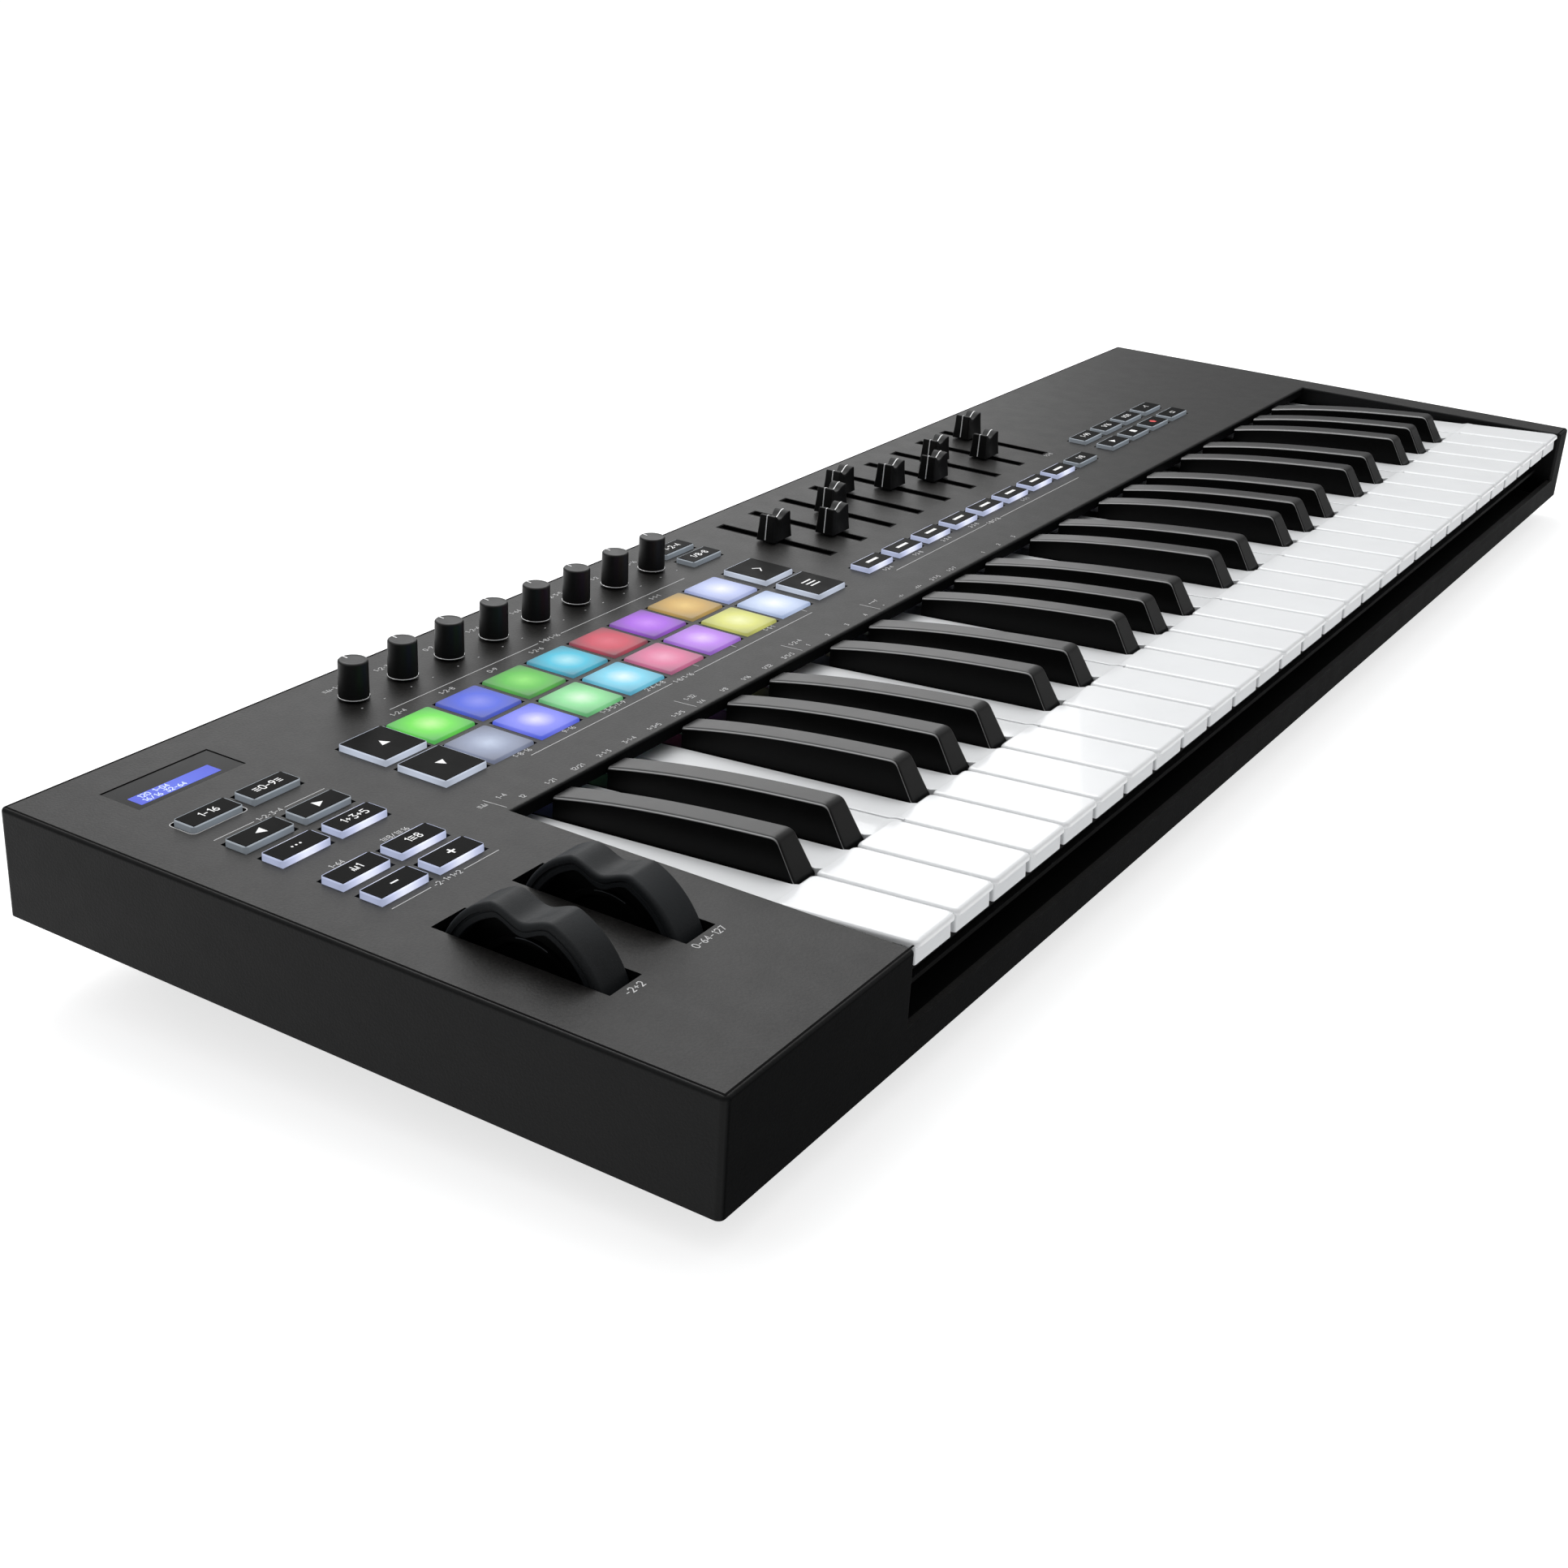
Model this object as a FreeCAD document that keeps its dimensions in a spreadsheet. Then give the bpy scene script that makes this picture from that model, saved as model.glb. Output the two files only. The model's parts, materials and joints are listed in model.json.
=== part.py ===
import FreeCAD, Part
import math
import os
import re
import Sketcher
from FreeCAD import Placement, Rotation, Vector

# A 49-key controller keyboard.  Two frames are used.
#   case frame: origin at the casing's front left bottom corner, X right, Y back, Z out of the panel.
#               The casing leans up towards the back by case_tilt.
#   bed frame:  level.  Origin at the left end of the white keys, at their front edge and top surface.
# The row's own frame is level, with its origin under the middle of the whole box.

DIMENSIONS = [
    # casing
    ("case_width", 790.0, "left side to right side"),
    ("case_depth", 254.0, "front face to back face, along the panel"),
    ("case_height", 35.3, "thickness of the casing slab"),
    ("case_tilt", 3.6, "degrees that the casing rises towards the back"),
    ("front_gap", 11.0, "height of the casing's front bottom edge above the desk"),
    ("wall", 2.5, "moulded wall thickness"),
    ("corner_radius", 2.0, "upright corners of the casing"),
    ("edge_radius", 1.3, "top edges of the casing"),
    ("rail_height", 10.6, "front rail under the keys"),
    ("well_left", 91.5, "left side of the key well"),
    ("well_right", 774.3, "right side of the key well"),
    ("well_back", 137.0, "back edge of the key well in the panel"),
    ("lip_depth", 4.6, "height of the panel's turned edge over the keys"),
    # base tub
    ("tub_inset", 48.0, "tub's distance from the casing's sides"),
    ("tub_front", 18.0, "front wall of the tub"),
    ("tub_back", 244.0, "back wall of the tub"),
    ("foot_height", 3.0, "rubber foot"),
    ("foot_radius", 10.0, "rubber foot"),
    ("screw_radius", 1.5, "case screws"),
    # keys, in the bed frame
    ("key_pitch", 23.4, "white key to white key"),
    ("key_start", 93.5, "left end of the white keys in the case frame"),
    ("key_gap", 0.9, "gap between white keys"),
    ("key_top", 35.75, "white key tops above the casing's front bottom edge"),
    ("key_front", -1.5, "white key fronts, level distance from the front bottom edge"),
    ("key_depth", 7.65, "height of a white key's body"),
    ("lip_thick", 2.7, "overhanging front lip of a white key"),
    ("skirt_back", 1.6, "skirt behind the front lip"),
    ("key_skin", 1.6, "moulded wall of a key"),
    ("key_roof", 1.8, "thickness over a key's hollow"),
    ("key_edge", 1.2, "rounding of a white key's top edges"),
    ("lip_corner", 1.4, "rounding of a white key's front corners"),
    ("tail_step", 0.6, "tail of a white key below its front part"),
    ("tail_start", 46.0, "where the tail's ramp starts"),
    ("ramp_length", 2.6, "length of the ramp"),
    ("notch_front", 46.8, "where the cut beside a black key starts"),
    ("tail_end", 150.0, "back of the key's body"),
    ("lug_width", 8.0, "hinge lug behind each key"),
    ("lug_end", 177.0, "back end of the hinge lug"),
    ("hinge_back", 168.0, "hinge rod behind the key fronts"),
    ("hinge_drop", 4.5, "hinge rod below the key tops"),
    ("rod_radius", 1.5, "hinge rod"),
    ("rod_clearance", 0.06, "radial clearance of a key on the hinge rod"),
    ("black_width", 11.2, "black key at its foot"),
    ("black_taper", 0.9, "how much narrower each side is at the top"),
    ("black_gap", 0.75, "gap beside a black key"),
    ("black_foot", 48.2, "front foot of a black key"),
    ("black_nose", 57.6, "top of a black key's sloping front"),
    ("black_height", 11.5, "front of a black key above the white keys"),
    ("black_back", 134.9, "back face of a black key"),
    ("black_back_height", 6.2, "back of a black key above the white keys"),
    # key bed, in the bed frame
    ("bed_drop", 21.0, "underside of the key frame's plate below the key tops"),
    ("bed_plate", 1.5, "plate of the key frame"),
    ("bed_front", 9.0, "front edge of the key frame"),
    ("bed_back", 182.0, "back edge of the key frame"),
    ("flange_front", 30.0, "front flange of the key frame"),
    ("flange_back", 178.0, "back flange of the key frame"),
    ("flange_thick", 1.6, "flanges and hinge brackets"),
    ("ledge_middle", 180.6, "ledge behind the hinge lugs"),
    ("ledge_depth", 2.8, "ledge behind the hinge lugs"),
    ("spring_thick", 0.4, "comb of key springs"),
    ("spring_reach", 176.6, "middle of a spring finger"),
    ("spring_finger", 7.0, "length of a spring finger"),
    ("felt_middle", 16.0, "felt strip that the white keys land on"),
    ("felt_depth", 9.0, "felt strip"),
    ("contact_middle", 95.0, "contacts under the keys"),
    ("contact_depth", 34.0, "contact board"),
    ("strip_depth", 14.0, "silicone contact strip"),
    ("contact_radius", 3.6, "silicone dome under a key"),
    ("contact_height", 3.4, "silicone dome under a key"),
    # controls, in the case frame
    ("button_width", 20.3, "long button"),
    ("button_depth", 9.2, "long button"),
    ("button_rise", 2.2, "button above the panel"),
    ("button_travel_room", 1.4, "room under a button's plunger"),
    ("square_size", 20.4, "square button"),
    ("pad_size", 20.9, "drum pad"),
    ("pad_rise", 1.2, "drum pad above the panel"),
    ("hole_clearance", 0.45, "gap around a button in its hole"),
    ("panel_pitch", 24.15, "pads, knobs and buttons along the panel"),
    ("left_column", 32.7, "first column of the left buttons"),
    ("left_pitch", 24.0, "left button columns"),
    ("setup_row", 202.4, "row of the two set-up buttons"),
    ("track_row", 181.9, "row of the two track buttons"),
    ("chord_row", 167.8, "row of the two chord buttons"),
    ("scale_row", 145.3, "row of the two scale buttons"),
    ("octave_row", 131.3, "row of the two octave buttons"),
    ("pad_column", 124.5, "first column of pads"),
    ("upper_row", 197.0, "upper row of pads"),
    ("lower_row", 172.9, "lower row of pads"),
    ("scene_left", 101.8, "square buttons left of the pads"),
    ("scene_right", 320.0, "square buttons right of the pads"),
    ("device_column", 319.8, "two buttons beside the knobs"),
    ("device_low_row", 225.0, "lower of them"),
    ("device_high_row", 238.3, "upper of them"),
    ("knob_column", 126.1, "first knob"),
    ("knob_pitch", 24.27, "knob to knob"),
    ("knob_row", 231.4, "row of knobs"),
    ("knob_radius", 5.55, "knob at its foot"),
    ("knob_top_radius", 5.0, "knob at its top"),
    ("knob_height", 13.7, "knob top above the panel"),
    ("knob_lift", 0.6, "knob foot above the panel"),
    ("pot_shaft_radius", 3.0, "shaft of a knob's potentiometer"),
    ("shaft_clearance", 0.06, "radial clearance of a knob on its shaft"),
    ("fader_column", 360.3, "first fader"),
    ("fader_pitch", 24.45, "fader to fader"),
    ("fader_front", 187.2, "front end of a fader slot"),
    ("fader_back", 241.2, "back end of a fader slot"),
    ("fader_slot", 4.2, "width of a fader slot"),
    ("cap_width", 14.0, "fader cap across the slot"),
    ("cap_length", 8.6, "fader cap along the slot"),
    ("cap_height", 11.6, "fader cap top above the panel"),
    ("cap_lift", 0.8, "fader cap foot above the panel"),
    ("stem_width", 1.4, "stem under a fader cap"),
    ("stem_length", 4.0, "stem under a fader cap"),
    ("fader_button_column", 359.4, "first button under the faders"),
    ("fader_button_pitch", 24.55, "button to button"),
    ("fader_button_row", 168.2, "row of those buttons"),
    ("transport_column", 593.8, "first transport button"),
    ("transport_pitch", 24.1, "transport button to button"),
    ("transport_low_row", 168.6, "front row of transport buttons"),
    ("transport_high_row", 183.1, "back row of transport buttons"),
    ("window_x", 45.2, "middle of the display window"),
    ("window_y", 229.8, "middle of the display window"),
    ("window_width", 43.0, "display window"),
    ("window_depth", 17.0, "display window"),
    # wheels
    ("wheel_slot_width", 14.0, "slot for a wheel"),
    ("wheel_slot_length", 59.0, "slot for a wheel"),
    ("wheel_width", 13.0, "pitch and modulation wheels"),
    ("wheel_radius", 28.5, "outer radius of a wheel"),
    ("wheel_rim", 3.6, "thickness of a wheel's rubber rim"),
    ("wheel_y", 79.3, "wheel axle"),
    ("wheel_z", 22.2, "wheel axle"),
    ("pitch_wheel_x", 28.6, "middle of the pitch wheel"),
    ("mod_wheel_x", 62.8, "middle of the modulation wheel"),
    ("axle_radius", 3.0, "wheel axle"),
    ("axle_clearance", 0.06, "radial clearance of a wheel on its axle"),
    ("scoop_half_angle", 20.5, "half angle of the finger scoop in a wheel"),
    ("scoop_depth", 5.0, "depth of the finger scoop"),
    ("bracket_front", 66.0, "front of the wheel bracket"),
    ("bracket_back", 93.0, "back of the wheel bracket"),
    ("bracket_left", 15.6, "left end of the wheel bracket"),
    ("bracket_right", 75.8, "right end of the wheel bracket"),
    ("bracket_thick", 2.0, "side plates of the wheel bracket"),
    # boards
    ("board_thick", 1.4, "circuit boards"),
    ("control_board_top", 28.0, "top of the board under the panel"),
    ("dome_height", 1.0, "switch domes on the boards"),
    ("jack_radius", 3.2, "bore of the pedal jack"),
    ("jack_depth", 30.0, "bore of the pedal jack, open at its inner end"),
    ("usb_mouth_width", 8.6, "mouth of the computer socket"),
    ("usb_mouth_height", 7.8, "mouth of the computer socket"),
    ("round_mouth", 6.8, "radius of the five-pin socket's mouth"),
    ("mouth_depth", 10.0, "both of those mouths"),
]

OCTAVES = 4
WHITE_KEYS = 29
KEY_COUNT = 49
KNOBS = 8
FADERS = 9
WHITE_NAMES = ["c", "d", "e", "f", "g", "a", "b"]
# Black keys: name and middle, in white key pitches from the left edge of C.
BLACK_KEYS = [
    ("c_sharp", 0.9), ("d_sharp", 2.1), ("f_sharp", 3.857), ("g_sharp", 5.0), ("a_sharp", 6.143),
]
# Where each fader cap stands at rest, from the front end of its slot.
FADER_REST = [28.0, 14.7, 30.2, 40.7, 28.8, 20.2, 32.6, 19.4, 41.3]
SCREW_PLACES = [
    (12, 14), (12, 122), (12, 246), (270, 248), (520, 248), (782.4, 14), (782.4, 122), (782.4, 246),
]
BOSS_RADIUS = 3.2
# Back sockets: kind and place along the casing, then the hole and the block of each.
SOCKETS = [("usb", "80"), ("jack", "120"), ("round", "160")]
SOCKET_HEIGHT = "14.8"
SOCKET_RADIUS = "8"
JACK_NUT_RADIUS = "5.6"
USB_WIDTH = "12.4"
USB_HEIGHT = "11.2"
SOCKET_BLOCKS = {"usb": ("12", "21", "14"), "jack": ("14", "22", "26"), "round": ("18", "24", "12")}
MAIN_BOARD_LEVEL = "6"
MAIN_BOARD = [("62", "192"), ("330", "192"), ("330", "240"), ("62", "240")]
# Chips on the main board: middle x and y, width and depth.
CHIPS = [("230", "216", "16", "16"), ("270", "212", "10", "8"), ("200", "206", "8", "12")]
# Outline of the board under the panel, which runs under every button, pad and knob.
CONTROL_BOARD = [
    ("16", "116"), ("86", "116"), ("86", "158"), ("690", "158"), ("690", "192"),
    ("576", "192"), ("576", "179"), ("346", "179"), ("346", "244"), ("16", "244"),
]

doc = FreeCAD.newDocument("controller_keyboard")
sheet = doc.addObject("Spreadsheet::Sheet", "Dimensions")
for row, (alias, amount, meaning) in enumerate(DIMENSIONS, start=1):
    sheet.set("A%d" % row, alias)
    sheet.set("B%d" % row, str(amount))
    sheet.set("C%d" % row, meaning)
    sheet.setAlias("B%d" % row, alias)
doc.recompute()
CELLS = {alias: "Dimensions." + alias for alias, amount, meaning in DIMENSIONS}


def size(alias):
    """A driving dimension's number, read from the sheet."""
    return float(sheet.get(alias))


def bound(text):
    """An expression in which every dimension's name points at its cell."""
    return re.sub(r"[a-z_]+", lambda found: CELLS.get(found.group(), found.group()), str(text))


TILT = math.radians(size("case_tilt"))
CASE_BACK = (size("case_height") * math.sin(TILT) - size("case_depth") * math.cos(TILT)) / 2
CASE_ROTATION = Rotation(Vector(1, 0, 0), size("case_tilt"))
CASE_ORIGIN = Vector(-size("case_width") / 2, CASE_BACK, size("front_gap"))
BED_ORIGIN = CASE_ORIGIN + Vector(size("key_start"), size("key_front"), size("key_top"))


def case_place(x=0.0, y=0.0, z=0.0):
    """A placement in the leaning case frame."""
    return Placement(CASE_ORIGIN, CASE_ROTATION).multiply(Placement(Vector(x, y, z), Rotation()))


def bed_place(x=0.0, y=0.0, z=0.0):
    """A placement in the level bed frame."""
    return Placement(BED_ORIGIN + Vector(x, y, z), Rotation())


# ---------------------------------------------------------------- sketches and features

parts = []


def new_body(label, place):
    body = doc.addObject("PartDesign::Body", label)
    body.Label = label
    body.AllowCompound = True
    body.Placement = place
    parts.append(body)
    return body


def new_sketch(body, plane, offset="0"):
    """A sketch parallel to one of the body's origin planes, moved along the plane's normal."""
    sketch = body.newObject("Sketcher::SketchObject", body.Name + "_sketch")
    support = [feature for feature in body.Origin.OriginFeatures if feature.Role == plane][0]
    sketch.AttachmentSupport = [(support, "")]
    sketch.MapMode = "FlatFace"
    sketch.setExpression("AttachmentOffset.Base.z", bound(offset))
    return sketch


def fix_point(sketch, constraints, texts, geometry, point, x, y):
    """Tie a point to the sketch's origin at two bound distances."""
    for kind, text in (("DistanceX", x), ("DistanceY", y)):
        constraints.append(Sketcher.Constraint(kind, -1, 1, geometry, point, 1.0))
        texts.append((len(constraints) - 1, text))


def apply_constraints(sketch, constraints, texts):
    first = sketch.ConstraintCount
    sketch.addConstraint(constraints)
    for index, text in texts:
        sketch.setExpression("Constraints[%d]" % (first + index), bound(text))


def polygon(sketch, points):
    """A closed outline through points whose coordinates are bound expressions."""
    first = sketch.GeometryCount
    count = len(points)
    corners = []
    for index in range(count):
        angle = 2 * math.pi * index / count
        corners.append(Vector(40 * math.cos(angle), 40 * math.sin(angle), 0))
    constraints = []
    texts = []
    for index in range(count):
        sketch.addGeometry(Part.LineSegment(corners[index], corners[(index + 1) % count]), False)
    for index in range(count):
        following = first + (index + 1) % count
        constraints.append(Sketcher.Constraint("Coincident", first + index, 2, following, 1))
        fix_point(sketch, constraints, texts, first + index, 1, *points[index])
    apply_constraints(sketch, constraints, texts)


def rectangle(sketch, x, y, width, depth):
    """A rectangle about its middle."""
    left = "%s - (%s) / 2" % (x, width)
    right = "%s + (%s) / 2" % (x, width)
    low = "%s - (%s) / 2" % (y, depth)
    high = "%s + (%s) / 2" % (y, depth)
    polygon(sketch, [(left, low), (right, low), (right, high), (left, high)])


def circle(sketch, x, y, radius):
    first = sketch.GeometryCount
    sketch.addGeometry(Part.Circle(Vector(1, 1, 0), Vector(0, 0, 1), 2.0), False)
    constraints = []
    texts = []
    fix_point(sketch, constraints, texts, first, 3, x, y)
    constraints.append(Sketcher.Constraint("Radius", first, 2.0))
    texts.append((len(constraints) - 1, radius))
    apply_constraints(sketch, constraints, texts)


def pad(body, sketch, length, midplane=False):
    feature = body.newObject("PartDesign::Pad", body.Name + "_pad")
    feature.Profile = sketch
    feature.Midplane = midplane
    feature.setExpression("Length", bound(length))
    return feature


def pocket(body, sketch, length, upward=False, midplane=False):
    """Cut from the sketch against its normal, or along it when upward is set."""
    doc.recompute()
    before = body.Shape.Volume
    feature = body.newObject("PartDesign::Pocket", body.Name + "_pocket")
    feature.Profile = sketch
    feature.Reversed = upward
    feature.Midplane = midplane
    feature.setExpression("Length", bound(length))
    doc.recompute()
    if feature.Shape.isNull() or feature.Shape.Volume > before - 1e-3:
        raise RuntimeError("a pocket of %s cuts nothing" % body.Label)
    return feature


def revolve(body, sketch):
    """A full turn about the sketch's upright axis."""
    feature = body.newObject("PartDesign::Revolution", body.Name + "_turned")
    feature.Profile = sketch
    feature.ReferenceAxis = (sketch, ["V_Axis"])
    feature.Angle = 360.0
    return feature


def round_edges(body, radius, wanted):
    """Fillet the edges of the body's tip for which wanted(box) is true."""
    doc.recompute()
    tip = body.Tip
    names = []
    for number, edge in enumerate(tip.Shape.Edges, start=1):
        if wanted(edge.BoundBox):
            names.append("Edge%d" % number)
    feature = body.newObject("PartDesign::Fillet", body.Name + "_fillet")
    feature.Base = (tip, names)
    feature.setExpression("Radius", bound(radius))
    doc.recompute()
    return feature


def repeat(body, sketch, feature, count, pitch, axis="H_Axis"):
    """Repeat one feature along an axis of its sketch."""
    pattern = body.newObject("PartDesign::LinearPattern", body.Name + "_pattern")
    pattern.Originals = [feature]
    pattern.Direction = (sketch, [axis])
    pattern.Occurrences = count
    pattern.setExpression("Length", bound("( %s ) * %d" % (pitch, count - 1)))
    body.Tip = pattern
    return pattern


def repeat_whole(body, sketch, count, pitch, axis="H_Axis"):
    """Repeat the whole piece along an axis of the given sketch."""
    doc.recompute()
    pattern = body.newObject("PartDesign::LinearPattern", body.Name + "_pattern")
    pattern.TransformMode = "Whole shape"
    pattern.Direction = (sketch, [axis])
    pattern.Occurrences = count
    pattern.setExpression("Length", bound("( %s ) * %d" % (pitch, count - 1)))
    body.Tip = pattern
    return pattern


def flat(box, axis, level, tolerance=1e-4):
    """True for an edge that lies in the plane axis = level."""
    low = getattr(box, axis + "Min")
    high = getattr(box, axis + "Max")
    return abs(low - level) < tolerance and abs(high - level) < tolerance


# ---------------------------------------------------------------- casing

HOLE = "hole_clearance * 2"
BUTTON_HOLE = ("button_width + " + HOLE, "button_depth + " + HOLE)


def panel_holes(body, places, count=1, pitch="0"):
    """Cut rectangular holes through the panel and repeat them along it."""
    sketch = new_sketch(body, "XY_Plane", "case_height")
    for x, y, width, depth in places:
        rectangle(sketch, x, y, width, depth)
    cut = pocket(body, sketch, "wall + 0.2")
    if count > 1:
        repeat(body, sketch, cut, count, pitch)
        doc.recompute()


def build_top_case():
    body = new_body("top_case", case_place())
    outline = new_sketch(body, "XY_Plane")
    polygon(outline, [("0", "0"), ("case_width", "0"), ("case_width", "case_depth"), ("0", "case_depth")])
    pad(body, outline, "case_height")
    height = size("case_height")
    round_edges(body, "corner_radius", lambda box: box.ZLength > height - 1)
    round_edges(body, "edge_radius", lambda box: flat(box, "Z", height))

    inside = new_sketch(body, "XY_Plane")
    polygon(inside, [
        ("wall", "wall"),
        ("case_width - wall", "wall"),
        ("case_width - wall", "case_depth - wall"),
        ("wall", "case_depth - wall"),
    ])
    pocket(body, inside, "case_height - wall", upward=True)

    well = new_sketch(body, "XY_Plane", "rail_height")
    polygon(well, [
        ("well_left", "-1"),
        ("well_right", "-1"),
        ("well_right", "well_back"),
        ("well_left", "well_back"),
    ])
    pocket(body, well, "case_height", upward=True)

    walls = new_sketch(body, "XY_Plane", "wall + 0.2")
    rectangle(walls, "well_left - wall / 2", "( well_back + wall ) / 2", "wall", "well_back + wall")
    rectangle(walls, "well_right + wall / 2", "( well_back + wall ) / 2", "wall", "well_back + wall")
    pad(body, walls, "case_height - wall * 2")
    lip = new_sketch(body, "XY_Plane", "case_height - lip_depth")
    well_middle = "( well_left + well_right ) / 2"
    rectangle(lip, well_middle, "well_back + wall / 2", "well_right - well_left + wall", "wall")
    pad(body, lip, "lip_depth - wall / 2")

    well_left = size("well_left")
    well_right = size("well_right")
    well_back = size("well_back")

    def well_edge(box):
        inner_side = flat(box, "X", well_left) or flat(box, "X", well_right)
        inner_back = flat(box, "Y", well_back)
        return flat(box, "Z", height) and (inner_side or inner_back)

    round_edges(body, "edge_radius", well_edge)

    bosses = new_sketch(body, "XY_Plane", "wall + 0.1")
    for x, y in SCREW_PLACES:
        circle(bosses, x, y, BOSS_RADIUS)
    pad(body, bosses, "case_height - wall * 2")
    bores = new_sketch(body, "XY_Plane", "wall + 0.1")
    for x, y in SCREW_PLACES:
        circle(bores, x, y, "screw_radius")
    pocket(body, bores, "14", upward=True)

    rows = ["setup_row", "track_row", "chord_row", "scale_row", "octave_row"]
    panel_holes(body, [("left_column", row, *BUTTON_HOLE) for row in rows], 2, "left_pitch")
    square = "square_size + " + HOLE
    scene_rows = ["upper_row", "lower_row"]
    scenes = [("scene_left", row, square, square) for row in scene_rows]
    panel_holes(body, scenes, 2, "scene_right - scene_left")
    pad_hole = "pad_size + " + HOLE
    panel_holes(body, [("pad_column", row, pad_hole, pad_hole) for row in scene_rows], 8, "panel_pitch")
    device_rows = ("device_low_row", "device_high_row")
    panel_holes(body, [("device_column", row, *BUTTON_HOLE) for row in device_rows])
    slot_middle = "( fader_front + fader_back ) / 2"
    slot_length = "fader_back - fader_front"
    panel_holes(body, [("fader_column", slot_middle, "fader_slot", slot_length)], FADERS, "fader_pitch")
    fader_buttons = [("fader_button_column", "fader_button_row", *BUTTON_HOLE)]
    panel_holes(body, fader_buttons, FADERS, "fader_button_pitch")
    transport_rows = ("transport_low_row", "transport_high_row")
    transport = [("transport_column", row, *BUTTON_HOLE) for row in transport_rows]
    panel_holes(body, transport, 4, "transport_pitch")
    panel_holes(body, [("window_x", "window_y", "window_width", "window_depth")])
    wheels = ("pitch_wheel_x", "mod_wheel_x")
    panel_holes(body, [(x, "wheel_y", "wheel_slot_width", "wheel_slot_length") for x in wheels])

    knob_holes = new_sketch(body, "XY_Plane", "case_height")
    circle(knob_holes, "knob_column", "knob_row", "pot_shaft_radius + 0.6")
    cut = pocket(body, knob_holes, "wall + 0.2")
    repeat(body, knob_holes, cut, KNOBS, "knob_pitch")
    doc.recompute()

    # openings for the sockets in the back wall
    back = new_sketch(body, "XZ_Plane", "-( case_depth + 1 )")
    for kind, x in SOCKETS:
        if kind == "round":
            circle(back, x, SOCKET_HEIGHT, SOCKET_RADIUS)
        elif kind == "jack":
            circle(back, x, SOCKET_HEIGHT, JACK_NUT_RADIUS)
        else:
            rectangle(back, x, SOCKET_HEIGHT, USB_WIDTH, USB_HEIGHT)
    pocket(body, back, "wall + 1.5", upward=True)


def tub_floor(y, lift="0"):
    """Height in the case frame of a level plane that is lift above the top of the feet."""
    return "( foot_height + %s - front_gap ) / cos( case_tilt ) - ( %s ) * tan( case_tilt )" % (lift, y)


def build_bottom_case():
    body = new_body("bottom_case", case_place())
    gap = "wall + 0.2"
    plate = new_sketch(body, "XY_Plane")
    polygon(plate, [
        (gap, gap),
        ("case_width - ( %s )" % gap, gap),
        ("case_width - ( %s )" % gap, "case_depth - ( %s )" % gap),
        (gap, "case_depth - ( %s )" % gap),
    ])
    pad(body, plate, "wall")

    tub = new_sketch(body, "YZ_Plane", "tub_inset")
    polygon(tub, [
        ("tub_front", tub_floor("tub_front")),
        ("tub_back", tub_floor("tub_back")),
        ("tub_back", "wall / 2"),
        ("tub_front", "wall / 2"),
    ])
    pad(body, tub, "case_width - tub_inset * 2")
    doc.recompute()
    round_edges(body, "1.6", lambda box: box.ZMax < -4)

    hollow = new_sketch(body, "YZ_Plane", "tub_inset + wall")
    front = "tub_front + wall"
    back = "tub_back - wall"
    polygon(hollow, [
        (front, tub_floor(front, "wall")),
        (back, tub_floor(back, "wall")),
        (back, "wall + 1"),
        (front, "wall + 1"),
    ])
    pocket(body, hollow, "case_width - tub_inset * 2 - wall * 2", upward=True)

    holes = new_sketch(body, "XY_Plane", "wall + 0.5")
    for x, y in SCREW_PLACES:
        circle(holes, x, y, "screw_radius + 0.2")
    pocket(body, holes, "wall + 1")


def build_feet():
    body = new_body("rubber_feet", Placement(Vector(0, 0, 0), Rotation()))
    sketch = new_sketch(body, "XY_Plane")
    side = "case_width / 2 - tub_inset - foot_radius - 6"
    near = "( tub_front + foot_radius + 4 ) - case_depth / 2"
    far = "( tub_back - foot_radius - 6 ) - case_depth / 2"
    for x in ("-( %s )" % side, side):
        for y in (near, far):
            circle(sketch, x, y, "foot_radius")
    pad(body, sketch, "foot_height")
    round_edges(body, "0.8", lambda box: flat(box, "Z", 0))


def build_screws():
    body = new_body("case_screws", case_place())
    heads = new_sketch(body, "XY_Plane", "-1.6")
    shanks = new_sketch(body, "XY_Plane")
    for x, y in SCREW_PLACES:
        circle(heads, x, y, "screw_radius * 2")
        circle(shanks, x, y, "screw_radius - 0.02")
    pad(body, heads, "1.6")
    pad(body, shanks, "12")
    doc.recompute()
    round_edges(body, "0.5", lambda box: flat(box, "Z", -1.6))


# ---------------------------------------------------------------- keys

def notch_edge(middle, side):
    """Edge of the cut beside a black key, in the bed frame: side is -1 for its left, 1 for its right."""
    sign = "+" if side > 0 else "-"
    return "key_pitch * %s %s ( black_width / 2 + black_gap )" % (middle, sign)


def tail_edges(index, left, right):
    """Left and right edge of a white key's tail, cut back where a black key stands beside it."""
    for name, middle in BLACK_KEYS:
        if abs(middle - index) < 0.5:
            left = notch_edge(middle, 1)
        if abs(middle - (index + 1)) < 0.5:
            right = notch_edge(middle, -1)
    return left, right


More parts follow.
